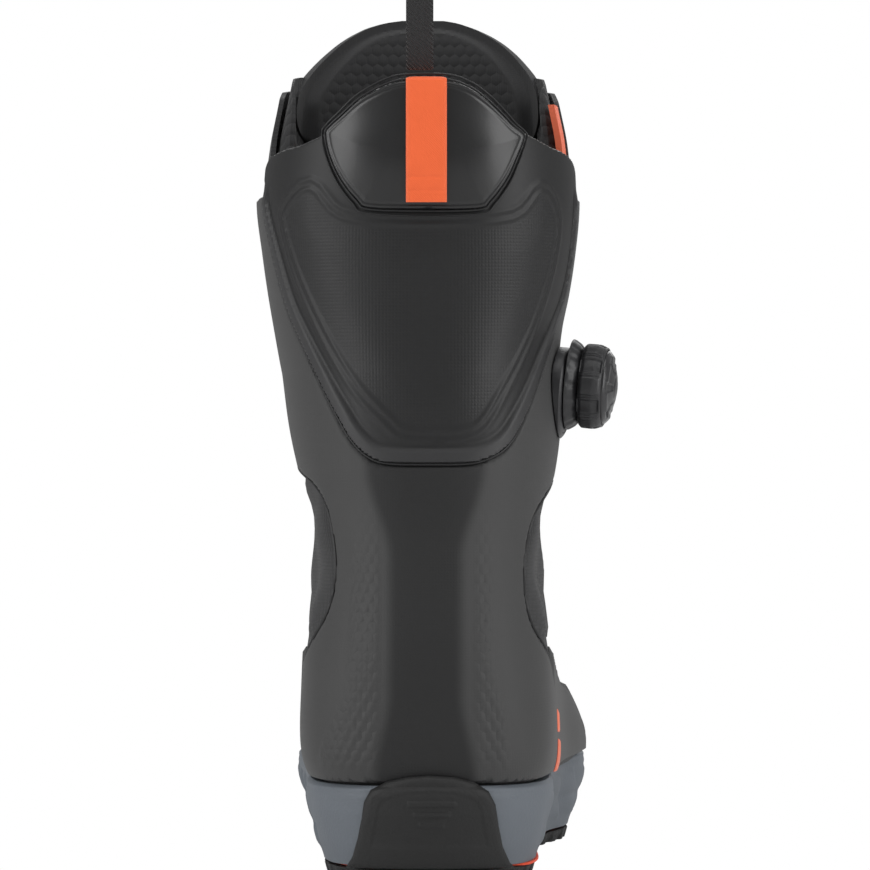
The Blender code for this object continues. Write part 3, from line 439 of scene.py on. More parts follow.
def webbing_finish(name, colour, roughness=0.8, sheen=0.2, pitch=0.0017, strength=0.8, depth=0.0006):
    f = Finish(name, colour, roughness, sheen=sheen)
    f.bump(f.add(TWILL, Pitch=pitch).outputs[0], strength, depth)
    return f.done()


def lining_finish():
    f = Finish("lining_hex_mesh", srgb(36, 36, 37), 0.8, sheen=0.12)
    domes = f.add(SCALES, f.attribute("cloth", "Vector"), Pitch=0.0046).outputs[0]
    f.bump(maths(f.tree, "MULTIPLY", domes, f.attribute("woven")), 0.55, 0.0009)
    f.bump(f.add(WEAVE, Pitch=0.0009).outputs[0], 0.2, 0.0002)
    return f.done()


# ---------------------------------------------------------------- mesh helpers
def mesh_piece(name, points, faces, material, attributes=None, body="boot", sharp=40):
    """One object from points in millimetres and a list of face arrays with 3 or 4 corners."""
    mesh = bpy.data.meshes.new(name)
    points = np.asarray(points, np.float64).reshape(-1, 3) * MM
    corners = np.concatenate([f.ravel() for f in faces]).astype(np.int32)
    sizes = np.concatenate([np.full(len(f), f.shape[1]) for f in faces]).astype(np.int32)
    starts = np.concatenate([[0], np.cumsum(sizes)[:-1]]).astype(np.int32)
    mesh.vertices.add(len(points))
    mesh.vertices.foreach_set("co", points.ravel())
    mesh.loops.add(len(corners))
    mesh.loops.foreach_set("vertex_index", corners)
    mesh.polygons.add(len(sizes))
    mesh.polygons.foreach_set("loop_start", starts)
    mesh.update(calc_edges=True)
    for label, values in (attributes or {}).items():
        values = np.asarray(values, np.float32)
        if values.ndim == 1:
            layer = mesh.attributes.new(label, "FLOAT", "POINT")
            layer.data.foreach_set("value", values)
        else:
            layer = mesh.attributes.new(label, "FLOAT_VECTOR", "POINT")
            layer.data.foreach_set("vector", values.ravel())
    mesh.validate()
    mesh.shade_smooth()
    mesh.set_sharp_from_angle(angle=math.radians(sharp))
    obj = bpy.data.objects.new(name, mesh)
    bpy.context.scene.collection.objects.link(obj)
    mesh.materials.append(material)
    if body:
        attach(obj, body)
    return obj


def dress(piece, node=None):
    """Hides the model's part that the piece stands for, when one is given, and hands the piece back."""
    if node:
        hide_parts(node)
    return piece


def quads(rows, columns, wrap=False):
    """Four-cornered faces of a grid of points, as numbers into it."""
    low = np.arange(rows - 1)[:, None] * columns
    high = low + columns
    j = np.arange(columns if wrap else columns - 1)[None, :]
    k = (j + 1) % columns
    return np.stack([low + j, low + k, high + k, high + j], -1).reshape(-1, 4)


def facing(points, faces, inner):
    """The faces turned so that they look away from the inner points of the same layout."""
    p = points.reshape(-1, 3)
    a, b, c = p[faces[:, 0]], p[faces[:, 1]], p[faces[:, 2]]
    out = (p - inner.reshape(-1, 3))[faces[:, 0]]
    turn = np.sum(np.cross(b - a, c - a) * out) < 0
    return faces[:, ::-1] if turn else faces


def edge_band(faces, far):
    """Faces that join a layer's open edges to the same points of the layer behind it, far on."""
    pairs = [(f[:, k], f[:, (k + 1) % f.shape[1]]) for f in faces for k in range(f.shape[1])]
    edges = np.concatenate([np.stack(pair, -1) for pair in pairs]).astype(np.int64)
    ahead, back = edges[:, 0] * far + edges[:, 1], edges[:, 1] * far + edges[:, 0]
    rim = edges[~np.isin(ahead, back)]
    return np.stack([rim[:, 1], rim[:, 0], rim[:, 0] + far, rim[:, 1] + far], -1)


def cloth_place(x, z):
    """The place on the cloth that a pattern is laid by, as points of three numbers."""
    return np.stack([x, z, 0 * x], -1) * MM


def closed_sheet(name, outer, inner, material, wrap=False, keep=None, attributes=None, body="boot"):
    """A wall between two grids of points, with its edges closed."""
    rows, columns = outer.shape[:2]
    far = rows * columns
    faces = quads(rows, columns, wrap)
    if keep is not None:
        faces = faces[keep.ravel()]
    faces = facing(outer, faces, inner)
    faces = [faces, faces[:, ::-1] + far, edge_band([faces], far)]
    points = np.concatenate([outer.reshape(-1, 3), inner.reshape(-1, 3)])
    values = {k: np.concatenate([v.reshape(far, -1)] * 2).squeeze() for k, v in (attributes or {}).items()}
    return mesh_piece(name, points, faces, material, values, body)


def trimmed(name, s, a, region, outside, thickness, material, extra, table=CUFF_T):
    """A sheet on the form cut to a region. region(s, a, w, z) is a signed distance, above 0 where
    the sheet is. Points near 0 are moved onto it by the shortest way: down the slope of the
    distance, each direction weighed by how many millimetres a step in it is."""
    s, a = (g.copy() for g in np.broadcast_arrays(s, a))
    rows, columns = s.shape
    step = 1e-3

    def distance(s, a):
        return region(s, a, *developed(s, a, table))

    for _ in range(4):
        p = form(s, a, CUFF_T)
        long_a = np.linalg.norm(form(s, a + step, CUFF_T) - p, axis=2) / step + 1.0
        long_s = np.linalg.norm(form(s + step, a, CUFF_T) - p, axis=2) / step + 1.0
        d = distance(s, a)
        ga = (distance(s, a + step) - d) / step
        gs = (distance(s + step, a) - d) / step
        slope = (ga / long_a) ** 2 + (gs / long_s) ** 2 + 1e-6
        wide, tall = np.abs(np.gradient(a, axis=1)) * long_a, np.abs(np.gradient(s, axis=0)) * long_s
        cell = 0.55 * np.maximum(wide, tall)
        pull = np.where(np.abs(d) < cell, -d / slope, 0.0)
        a = a + np.clip(pull * ga / long_a**2, -cell / long_a, cell / long_a)
        s = s + np.clip(pull * gs / long_s**2, -cell / long_s, cell / long_s)
    w, z = developed(s, a, table)
    d = region(s, a, w, z)
    out = d < -0.12
    faces = quads(rows, columns)
    bad = out.ravel()[faces]
    whole = faces[bad.sum(1) == 0]
    part = faces[bad.sum(1) == 1]
    lost = np.argmax(out.ravel()[part], axis=1) if len(part) else np.zeros(0, int)
    corners = [(lost + k) % 4 for k in (1, 2, 3)]
    triangles = np.stack([part[np.arange(len(part)), c] for c in corners], -1)
    t = outside(s, a, w, z, np.maximum(d, 0))
    outer = form(s, a, t)
    inner = form(s, a, t - thickness)
    if not np.array_equal(facing(outer, whole, inner)[0], whole[0]):
        whole, triangles = whole[:, ::-1], triangles[:, ::-1]
    faces = [whole, triangles, edge_band([whole, triangles], rows * columns)]
    points = np.concatenate([outer.reshape(-1, 3), inner.reshape(-1, 3)])
    used = np.unique(np.concatenate([f.ravel() for f in faces]))
    number = np.full(len(points), -1)
    number[used] = np.arange(len(used))
    values = {"cloth": cloth_place(w, z).reshape(-1, 3)}
    values |= {label: np.ravel(value) for label, value in extra(w, z, d).items()}
    values = {k: np.concatenate([v, v])[used] for k, v in values.items()}
    return mesh_piece(name, points[used], [number[f] for f in faces], material, values)


def tube_mesh(line, radius, lean, rounds=0, closed=False, sides=8):
    """Points, sides and end caps of a round cord: a circle carried along a line. Its first
    direction is across the line and lean, and rounds of averaging keep it from twisting."""
    line = np.asarray(line, float)
    step = (np.roll(line, -1, 0) - np.roll(line, 1, 0)) if closed else np.gradient(line, axis=0)
    step /= np.linalg.norm(step, axis=1, keepdims=True)
    up = np.cross(step, np.array(lean))
    up /= np.linalg.norm(up, axis=1, keepdims=True) if rounds == 0 else 1.0
    for _ in range(rounds):
        up = up + np.roll(up, 1, 0) + np.roll(up, -1, 0)
        up -= step * np.sum(up * step, axis=1, keepdims=True)
        up /= np.linalg.norm(up, axis=1, keepdims=True)
    v = np.linspace(0, 2 * math.pi, sides, endpoint=False)[None, :, None]
    points = line[:, None] + radius * (np.cos(v) * up[:, None] + np.sin(v) * np.cross(step, up)[:, None])
    count = len(line) * sides
    plain = quads(len(line) + closed, sides, True) % count
    faces = facing(points, plain, np.broadcast_to(line[:, None], points.shape))
    ring = np.arange(sides)
    caps = np.stack([ring[::-1], count - sides + ring])[: 0 if closed else 2]
    if not np.array_equal(faces[0], plain[0]):
        caps = caps[:, ::-1]
    return points.reshape(-1, 3), faces, caps


def turned(name, profile, steps, material, place, body="boot", wave=None):
    """A closed profile of (radius, height) turned about an axis; wave(angle, r, h) moves it.
    place holds the foot of the axis, its direction and a direction across it."""
    origin, out, up = place
    count = len(profile)
    angle = np.linspace(0, 2 * math.pi, steps, endpoint=False)[None, :]
    r, h = (np.repeat(column[:, None], steps, axis=1) for column in np.asarray(profile, float).T)
    if wave is not None:
        r, h = wave(angle + 0 * r, r, h)
    side = np.cross(up, out)
    points = origin + (r * np.cos(angle))[..., None] * side
    points = points + (r * np.sin(angle))[..., None] * up + h[..., None] * out
    faces = quads(count + 1, steps, True) % (count * steps)
    faces = faces[r.ravel()[faces].max(1) > 1e-4]
    middle = points.mean(axis=(0, 1))
    a, b, c = (points.reshape(-1, 3)[faces[:, k]] for k in (0, 1, 2))
    volume = np.sum((a - middle) * np.cross(b - middle, c - middle))
    faces = faces if volume > 0 else faces[:, ::-1]
    return mesh_piece(name, points, [faces], material, None, body, sharp=30)


# ---------------------------------------------------------------- outlines on the form, (w, z)
SEAM_LINE = [
    (-82.6, 251.3), (-72.9, 230.1), (-64.8, 213.4), (-55.4, 199.5), (-45.9, 185.6), (-36.9, 172.9),
    (-31.3, 165.0), (-24.1, 158.3), (-16.0, 155.4), (0.0, 155.0), (16.0, 155.4), (26.4, 158.6),
    (33.1, 163.4), (38.6, 170.0), (47.0, 180.5), (57.9, 194.1), (69.0, 206.5), (78.4, 219.7),
    (83.5, 235.3), (84.6, 248.0),
]
SHOULDER_OUT = [(83.9, 259.5), (84.6, 265.0), (81.4, 269.4), (74.0, 272.0), (63.0, 273.8), (54.0, 275.0)]
SHOULDER_IN = [
    (-54.0, 275.2), (-64.4, 274.0), (-75.7, 272.3), (-82.0, 269.6), (-84.4, 265.6), (-83.0, 259.3),
]
UNDER_PAD = [(39.0, 279.4), (26.0, 284.0), (-26.0, 284.0), (-39.0, 279.6)]
PANEL = SEAM_LINE + SHOULDER_OUT + UNDER_PAD + SHOULDER_IN
FRAME_LINE = [
    (-47.3, 258.6), (-61.1, 250.5), (-62.3, 245.3), (-56.2, 230.5), (-47.3, 214.8), (-36.3, 197.5),
    (-26.0, 183.7), (-14.7, 172.5), (-9.0, 168.0), (2.7, 167.0), (13.3, 168.0), (20.2, 171.9),
    (28.9, 184.6), (37.5, 196.6), (46.7, 211.2), (55.7, 232.4), (57.6, 247.9), (47.0, 257.4),
    (33.0, 247.0), (0.0, 244.5), (-33.0, 247.0),
]
DOME = [
    (-9.0, 298.0), (-15.7, 296.6), (-22.5, 293.7), (-28.1, 290.5), (-34.4, 285.4), (-39.1, 281.8),
    (-41.3, 278.8), (-39.3, 270.5), (-34.4, 261.3), (-28.0, 253.8), (-23.0, 250.6), (-1.6, 250.0),
    (19.0, 250.4), (24.0, 253.5), (30.6, 261.6), (35.3, 270.2), (38.6, 277.0), (37.7, 279.2),
    (33.3, 281.9), (28.6, 286.0), (22.2, 291.2), (15.2, 295.5), (6.3, 298.0),
]
NOTCH_SIDE = [
    (-103, 118), (-98, 134), (-84, 148), (-60, 156), (-20, 160), (90, 190), (140, 100),
    (60, 64), (20, 66), (-10, 70), (-50, 80), (-82, 90), (-98, 103),
]
NOTCH_IN = [
    (-86.2, 153.8), (-67.0, 150.6), (-55.9, 147.5), (-48.7, 142.9), (-44.6, 136.8), (-42.6, 127.7),
    (-41.8, 117.9), (-42.7, 109.7), (-45.6, 102.4), (-51.9, 95.6), (-60.7, 90.0), (-69.4, 85.8),
    (-90.0, 79.0), (-120.0, 70.0), (-170.0, 62.0), (-260.0, 60.0), (-260.0, 185.0), (-170.0, 170.0),
    (-120.0, 160.0),
]
NOTCH_OUT = [
    (83.7, 148.6), (68.0, 144.4), (56.4, 139.5), (49.4, 133.4), (46.0, 124.0), (44.3, 113.6),
    (45.1, 104.3), (48.9, 96.3), (56.0, 90.6), (69.8, 84.5), (90.0, 77.0), (120.0, 68.0),
    (170.0, 60.0), (260.0, 58.0), (260.0, 185.0), (170.0, 168.0), (120.0, 156.0),
]
PANEL_CURVE, FRAME_CURVE, DOME_CURVE, NOTCH_IN_CURVE, NOTCH_OUT_CURVE, NOTCH_SIDE_CURVE = (
    curve_through(line, 4) for line in (PANEL, FRAME_LINE, DOME, NOTCH_IN, NOTCH_OUT, NOTCH_SIDE)
)
CUFF_FOOT, CUFF_TOP = 36.4, 257.0
COLLAR_W = (0, 12, 22, 30, 38, 43, 57, 76, 85, 92, 99, 106, 114, 128, 150, 200)
COLLAR_Z = (
    296.2, 295.2, 292.0, 287.6, 281.0, 277.2, 274.2, 271.4, 270.4, 274, 286, 295.5, 300, 304, 306, 306,
)
FORM_FRONT = 17.0  # how far the cuff's front edge lies outside the throat


def placed(points, t, table=CUFF_T):
    """The points of the layer t over drawn (w, z): s and a are moved until developed() agrees."""
    w, z = np.asarray(points, float).T
    back_s = np.linspace(1.36, 3.0, 400)
    s = np.interp(z, form(back_s, math.pi, CUFF_T)[:, 2], back_s)
    a = math.pi - w / 58
    for _ in range(25):
        w0, z0 = developed(s, a, table)
        w1, _ = developed(s, a + 1e-3, table)
        _, z1 = developed(s + 1e-3, a, table)
        a = np.clip(a + np.clip((w - w0) / np.minimum((w1 - w0) / 1e-3, -8), -0.05, 0.05), 0, 2 * math.pi)
        s = np.clip(s + np.clip((z - z0) / np.maximum((z1 - z0) / 1e-3, 15), -0.03, 0.03), 0.5, 3.0)
    return form(s, a, t)


def piping(name, points, t, radius, material, closed=False, table=CUFF_T):
    """A cord laid on the form along drawn (w, z) points."""
    line = placed(curve_through(points, 8, closed), t, table)
    points, *faces = tube_mesh(line, radius, (0.31, 0.17, 0.93), 30, closed)
    dress(mesh_piece(name, points, faces, material))


# ---------------------------------------------------------------- the upper
def span(a, b, count):
    return np.linspace(a, b, count)


def notch_distance(s, a, w, z):
    """Signed distance to the ankle cut-outs: the outline seen from behind where it faces back,
    and the one seen from the side further forward, mixed over 24 between them."""
    y = form(s, a, CUFF_T)[..., 1]
    behind = np.maximum(inside(w, z, NOTCH_IN_CURVE), inside(w, z, NOTCH_OUT_CURVE))
    ahead = inside(y, z, NOTCH_SIDE_CURVE)
    mix = smooth((y + 92) / 26)
    return behind * (1 - mix) + ahead * mix


def cuff_region(s, a, w, z):
    shut = inside(w, z, PANEL_CURVE)
    return np.minimum.reduce([-shut - 0.35, z - CUFF_FOOT, CUFF_TOP - z, -notch_distance(s, a, w, z)])


def cuff_layer(s, a, w, z, d):
    """t = 5.1, less a rounded edge where d < 1.5, plus small domes in the two embossed strips
    and a slow unevenness of the stretched cloth."""
    slack = 0.22 * np.sin(w / 17.0 + z / 31.0) * np.sin(z / 23.0 - w / 41.0)
    return 5.1 - 1.3 * bevel(d / 1.5) + slack + 0.6 * cuff_scales(w, z)


def emboss_mask(w, z):
    """1 on the two strips beside the spine, wider towards the heel, fading at their edges."""
    low = smooth((150 - z) / 55)
    left = smooth((w + 34 + 14 * smooth((75 - z) / 30)) / 5) * smooth((-17.5 - w) / 3)
    right = smooth((w - 15.5) / 4) * smooth((26.5 + 6 * smooth((85 - z) / 30) - w) / 5)
    return (left + right) * low * smooth((z - 40) / 8)


def cuff_scales(w, z):
    """Hexagonal domes: 1 - 3.4 r^2, r the distance to the nearest of two interleaved lattices."""
    p, q = w / 4.6, z / 4.6
    r2 = []
    for shift in (0.0, 0.5):
        x = (p + shift) % 1.0 - 0.5
        y = (q + shift * ROOT3) % ROOT3 - ROOT3 / 2
        r2.append(x * x + y * y)
    return np.clip(1 - 3.4 * np.minimum(*r2), 0, 1) * emboss_mask(w, z)


def spine_tone_and_shade_mask(w, z):
    """1 on the smooth strip up the middle of the back, tinted darker there: partly the strip's own darker
    colour, partly painted shade that the side lights leave down the middle of the back.
    """
    wide = 13.5 + 9.0 * smooth((z - 120) / 35) + 5.0 * smooth((70 - z) / 30)
    return smooth((wide + 3 - np.abs(w + 1.5)) / 6)


def cuff_marks(w, z, d):
    return {
        # the spine tint: partly the strip's own darker colour, partly painted shade down the middle of the
        # back
        "spine": spine_tone_and_shade_mask(w, z) * 0.92,
        "embossed": emboss_mask(w, z) * 0.6,
        # painted shade along the cut edges, where the cloth rolls down into the seams and bindings
        "edge": smooth((0.9 - d) / 0.9) * 0.5,
    }


def throat_edge(s, side, clearance):
    """The throat's edge; below the tongue's foot it closes to the middle, rounded."""
    open_up = np.sqrt(np.clip((s - 0.665) / 0.07, 0, 1))
    return throat_angle(np.maximum(s, 0.72), side, clearance) * open_up


def make_cuff(material, line):
    rows = np.concatenate([span(1.06, 1.5, 80), span(1.503, 2.0, 135), span(2.003, 2.47, 100)])
    front_out = throat_angle(rows, 1, -FORM_FRONT)
    front_in = 2 * math.pi + throat_angle(rows, -1, -FORM_FRONT)
    share = np.linspace(0, 1, 250)[None, :]
    a = front_out[:, None] + (front_in - front_out)[:, None] * share
    piece = trimmed("cuff_wrap", rows[:, None], a, cuff_region, cuff_layer, 1.9, material, cuff_marks)
    dress(piece, "back_shell")
    for name, edge in (("notch_binding_inner", NOTCH_IN[:13]), ("notch_binding_outer", NOTCH_OUT[:11])):
        piping(name, edge, 4.55, 0.62, line)


def make_eyestay(material):
    """A stiff strip beside the throat on each side, under the lace posts."""
    s = span(1.0, 2.46, 170)[:, None]
    share = span(0, 1, 22)[None, :]
    edge = 1.1 * bevel(np.minimum(share, 1 - share) * 17 / 1.4)
    for name, side in (("eyestay_outer", 1), ("eyestay_inner", -1)):
        near, far = throat_edge(s, side, -1.5), throat_edge(s, side, -18.5)
        a = near + (far - near) * share
        sheet = closed_sheet(name, form(s, a, 4.2 - edge), form(s, a, 2.9 - edge), material)
        dress(sheet)


def panel_region(s, a, w, z):
    return inside(w, z, PANEL_CURVE)


def panel_layer(s, a, w, z, d):
    """t = 4.8, raised to 5.8 in a smooth band inside the seam, with two ridges along the inner
    frame and a slow swell of the woven field."""
    edge = 1.5 * bevel(d / 1.2)
    low = smooth((262 - z) / 10)
    band = smooth((6.2 - d) / 1.4) * low
    f = inside(w, z, FRAME_CURVE)
    ridges = 0.55 * ridge(f, 0.0, 0.9) + 0.5 * ridge(f, -3.4, 1.0)
    field = 0.5 * smooth(f / 14)
    hollow = -0.35 * ridge(d, 7.0, 0.9) * low
    return 4.8 - edge + band + ridges + field + hollow


def panel_marks(w, z, d):
    f = inside(w, z, FRAME_CURVE)
    return {
        "woven": smooth((f - 1.0) / 2.0),
        # painted shade along the bevelled seam edge and in the sunk line 7 inside it
        "edge": smooth((0.9 - d) / 0.9) * 0.6 + 0.5 * ridge(d, 7.0, 0.8) * smooth((262 - z) / 10),
        "band": smooth((6.0 - d) / 1.2) * smooth((262 - z) / 12),
    }


def make_panel(material, line):
    rows = np.concatenate([span(1.76, 2.0, 90), span(2.003, 2.62, 170)])
    a = span(math.pi - 1.9, math.pi + 1.9, 250)[None, :]
    piece = trimmed("cuff_panel", rows[:, None], a, panel_region, panel_layer, 1.6, material, panel_marks)
    dress(piece, "back_panel")
    piping("panel_seam_cord", SEAM_LINE, CUFF_T, 0.42, line)


def dome_layer(s, a, w, z, d):
    """t rises from 5.8 at the rim in a quarter round and then swells to about 9.4."""
    lip = 1.2 * (1 - bevel(d / 1.2))
    return 5.8 + lip - 0.25 * ridge(d, 1.9, 0.5) + 2.4 * smooth((d + 1.5) / 22) ** 0.9


def make_dome(material, line):
    rows = span(2.38, 2.76, 190)[:, None]
    a = span(math.pi - 0.95, math.pi + 0.95, 230)[None, :]
    piece = trimmed(
        "collar_pad", rows, a, lambda s, a, w, z: inside(w, z, DOME_CURVE), dome_layer, 3.0, material,
        # the edge mark is painted shade in the sunk groove 1.9 inside the rim
        lambda w, z, d: {"edge": 0.5 * ridge(d, 1.9, 0.5)}, table=PAD_T,
    )
    dress(piece, "collar_dome")
    outline = np.asarray(DOME)
    middle = np.array([-1.0, 272.0])
    away = outline - middle
    away /= np.linalg.norm(away, axis=1, keepdims=True)
    for name, gap, t, r in (("collar_pad_cord", 0.5, 6.0, 0.42), ("collar_pad_cord_outer", 2.4, 5.5, 0.38)):
        piping(name, outline + away * gap, t, r, line, True, PAD_T)


def collar_height(a):
    """How high the collar stands at the angle a, looked up along the section at its top."""
    w, _ = developed(np.full(np.shape(a), 2.6), np.asarray(a, float))
    return np.interp(np.abs(w), COLLAR_W, COLLAR_Z)


def throat_columns(s, clearance, count):
    """Angles from one edge of the throat round the back to the other."""
    right = throat_edge(s[:, [0]], 1, clearance)
    left = 2 * math.pi + throat_edge(s[:, [0]], -1, clearance)
    return right + (left - right) * np.linspace(0, 1, count)[None, :]


def body_grid(top_clear, clearance, rows, columns):
    """(s, a) of a sock: the sections follow the collar's height at each angle near the top."""
    share = np.linspace(0, 1, rows)
    base = 0.012 + 2.55 * share
    guess = throat_columns(base[:, None], clearance, columns)
    top = height(collar_height(guess[-1]) - top_clear)
    grown = smooth((share - 0.80) / 0.20)[:, None]
    s = base[:, None] + (top[None, :] - base[-1]) * grown
    right = throat_edge(s[:, :1], 1, clearance)
    left = 2 * math.pi + throat_edge(s[:, -1:], -1, clearance)
    a = right + (left - right) * np.linspace(0, 1, columns)[None, :]
    return s, a


def make_ankle_cloth(material):
    """The soft base layer: t = 2, with slack folds where it shows beside the ankle."""
    s, a = body_grid(5.0, 0.0, 190, 230)
    w, z = developed(np.maximum(s, 0.5), a)
    seen = smooth((-30 - form(s, a, 2.0)[..., 1]) / 30)
    bare = smooth((notch_distance(s, a, w, z) + 2) / 10) * (0.15 + 0.85 * seen)
    fold = (
        0.9 * np.sin((z + 0.35 * np.abs(w)) / 4.6) + 0.7 * np.sin((z - 0.6 * np.abs(w)) / 7.1 + 1.3)
        + 0.5 * np.sin(np.abs(w) / 5.3 + z / 13.0)
    )
    vamp = smooth((s - 0.5) / 0.1) * smooth((1.2 - s) / 0.1) * 0.15 * np.sin(w / 6.0) * np.sin(s * 60)
    t = 2.0 + bare * (1.1 + 0.75 * fold) + vamp
    outer, inner = form(s, a, t), form(s, a, 0.1)
    piece = closed_sheet("ankle_cloth", outer, inner, material, attributes={"cloth": cloth_place(w, z)})
    dress(piece, "lower_shell")


def make_liner(material):
    """The padded inner boot: foam 7 thick, rounded over at the collar, with a soft unevenness."""
    s, a = body_grid(0.0, -4.0, 150, 200)
    w, z = developed(np.maximum(s, 0.5), a)
    share = np.linspace(0, 1, 150)[:, None]
    roll = 3.2 * (1 - np.sqrt(np.clip(1 - smooth((share - 0.965) / 0.035) ** 2, 0, 1)))
    soft = 0.35 * np.sin(w / 9.0) * np.sin(z / 11.0)
    cuffed = smooth((z - 200) / 40)
    wing = smooth((np.abs(w) - 84) / 16) * smooth((z - 262) / 22)
    outer = form(s, a, -1.4 - roll * (1 - 0.8 * wing), 3.1)
    behind = (roll - (soft + 1.2) * cuffed) * (1 - wing) + (4.9 + roll * 0.2) * wing
    inner = form(s, a, -8.4 + behind, 3.1)
    marks = {"cloth": cloth_place(w, z), "woven": 1 + 0 * w}
    piece = closed_sheet("liner_boot", outer, inner, material, attributes=marks)
    dress(piece, "liner")


TONGUE_Z = (270.0, 290.0, 298.7, 306.2, 311.3, 317.7, 322.0, 325.6, 328.6, 330.4, 331.2)
TONGUE_IN = (-53.0, -53.2, -52.0, -48.4, -44.8, -39.0, -34.2, -28.8, -22.4, -15.5, -9.5)
TONGUE_OUT = (43.5, 44.0, 43.2, 40.8, 37.6, 32.4, 27.6, 22.0, 15.4, 9.5, 4.5)


def front_angle(s, x, t):
    """The angle in front at which the layer t has the width x: a such that form's x is x."""
    half = np.where(np.asarray(x) >= 0, station(s, 4), station(s, 3)) + t
    share = np.clip(np.abs(x) / half, 0, 0.995)
    return np.sign(x) * np.arcsin(share ** (station(s, 5) / 2))


def tongue_grid(clearance, top, rows, columns):
    """(s, a) of a tongue: inside the throat below, rounded over at its top."""
    low = 0.735
    share = np.linspace(0, 1, rows)
    share = 1 - (1 - share) ** 1.35
    s = low + (height(top) - low) * share
    z = FAN_Z + (s - 2) * (TOP_Z - FAN_Z) - SINK
    right = throat_edge(s, 1, clearance)
    left = throat_edge(s, -1, clearance)
    return s, z, left, right


def make_tongue_lining(material):
    """The padded tongue: t from -8.4 to -1.4, thinned to a flat binding along its top edge."""
    rows, columns = 170, 120
    s, z, left, right = tongue_grid(3.0, 331.0, rows, columns)
    x_in, x_out = along(z, TONGUE_Z, TONGUE_IN), along(z, TONGUE_Z, TONGUE_OUT)
    rise = smooth((z - 268) / 24)
    left = left + (front_angle(s, x_in, -3.0) - left) * rise
    right = right + (front_angle(s, x_out, -3.0) - right) * rise
    share = np.linspace(0, 1, columns)[None, :]
    bend = 0.5 - 0.5 * np.cos(math.pi * share)
    a = left[:, None] + (right - left)[:, None] * (0.35 * bend + 0.65 * share)
    s2 = np.broadcast_to(s[:, None], a.shape)
    p = form(s2, a, -4.0)
    x, z2 = p[..., 0], p[..., 2]
    edge_z = span(270, 331.2, 60)
    edge = np.stack([along(edge_z, TONGUE_Z, TONGUE_OUT), edge_z], -1)
    other = np.stack([along(edge_z, TONGUE_Z, TONGUE_IN), edge_z], -1)[::-1]
    outline = np.concatenate([[(43.5, 200.0)], edge, other, [(-53.0, 200.0)]])
    d = np.where(z2 > 262, inside(x, z2, outline), 30.0)
    side = np.minimum(np.arange(columns), np.arange(columns)[::-1])[None, :] * 1.1
    d = np.minimum(d, 30)
    pad = smooth((d - 3.2) / 2.2)
    round_side = 2.4 * bevel(side / 4.0)
    outer = form(s2, a, -1.2 - round_side * 0.4)
    inner = form(s2, a, -4.4 - (4.0 + 1.6 * smooth(d / 22)) * pad + round_side * pad)
    marks = {"cloth": cloth_place(x, z2), "woven": smooth((d - 5) / 3)}
    piece = closed_sheet("tongue_lining", outer, inner, material, attributes=marks, body="tongue")
    dress(piece, "liner_tongue")


def make_tongue_shell(material):
    """The outer tongue: t = 3 with cross grooves over the instep and a raised rim."""
    rows, columns = 220, 90
    s, z, left, right = tongue_grid(1.5, 293.0, rows, columns)
    share = np.linspace(0, 1, columns)[None, :]
    a = left[:, None] + (right - left)[:, None] * share
    s2 = np.broadcast_to(s[:, None], a.shape)
    side = np.minimum(share, 1 - share)
    flex = smooth((s2 - 0.95) / 0.1) * smooth((2.35 - s2) / 0.1)
    groove = 0.9 * np.maximum(np.cos(s2 * 2 * math.pi / 0.085), 0) ** 6 * smooth((side - 0.14) / 0.05) * flex
    rim = 0.5 * smooth((0.10 - side) / 0.03)
    end = np.minimum(s2 - s2[0], s2[-1] - s2) / 0.02
    edge = 1.4 * np.maximum(bevel(side / 0.03), bevel(end))
    outer = form(s2, a, 3.0 - groove + rim - edge)
    inner = form(s2, a, 0.2)
    piece = closed_sheet("tongue_shell", outer, inner, material, body="tongue")
    dress(piece, "shell_tongue")


def angle_at(s, side, z, t):
    """The angle on one side at which the layer t is at the height z, by halving steps."""
    low, high = np.full(np.shape(s), 0.02), np.full(np.shape(s), math.pi * 0.62)
    for _ in range(26):
        middle = (low + high) / 2
        above = form(s, side * middle, t)[..., 2] > z
        low, high = np.where(above, middle, low), np.where(above, high, middle)
    return low


def make_toe_cap(material):
    """Moulded guard round the toe: t from 3.1 to 5.4, with a rolled edge and two steps."""
    rows = np.concatenate([[0.0, 0.004, 0.012], span(0.025, 0.56, 90)])
    right, left = angle_at(rows, 1, 37.4, 5.4), angle_at(rows, -1, 37.4, 5.4)
    columns = 150
    share = np.linspace(0, 1, columns)[None, :]
    a = -left[:, None] + (right + left)[:, None] * share
    edge_s = 0.56 - 0.10 * np.cos(np.clip(a / 1.4, -1, 1) * math.pi / 2)
    s = rows[:, None] * (edge_s / 0.56)
    roll = 1.3 * bevel((edge_s - s) / 0.03)
    step = 0.5 * smooth((s - 0.30) / 0.02) * smooth((0.46 - s) / 0.02)
    outer = form(s, a, 5.4 - roll + step * 0.6)
    inner = form(s, a, 3.2)
    piece = closed_sheet("toe_guard", outer, inner, material)
    dress(piece, "toe_cap")


# ---------------------------------------------------------------- the sole
FOOTPRINT = [
    (0, -150.5), (26, -144), (41, -127), (47, -100), (47.5, -60), (48, -15), (54, 30), (62.5, 62),
    (63.5, 92), (55.5, 122), (36, 146), (4, 156), (-28, 152), (-46.5, 131), (-54, 98), (-53.5, 60),
    (-50, 15), (-48, -25), (-47, -65), (-46.5, -100), (-41, -127), (-26, -144),
]


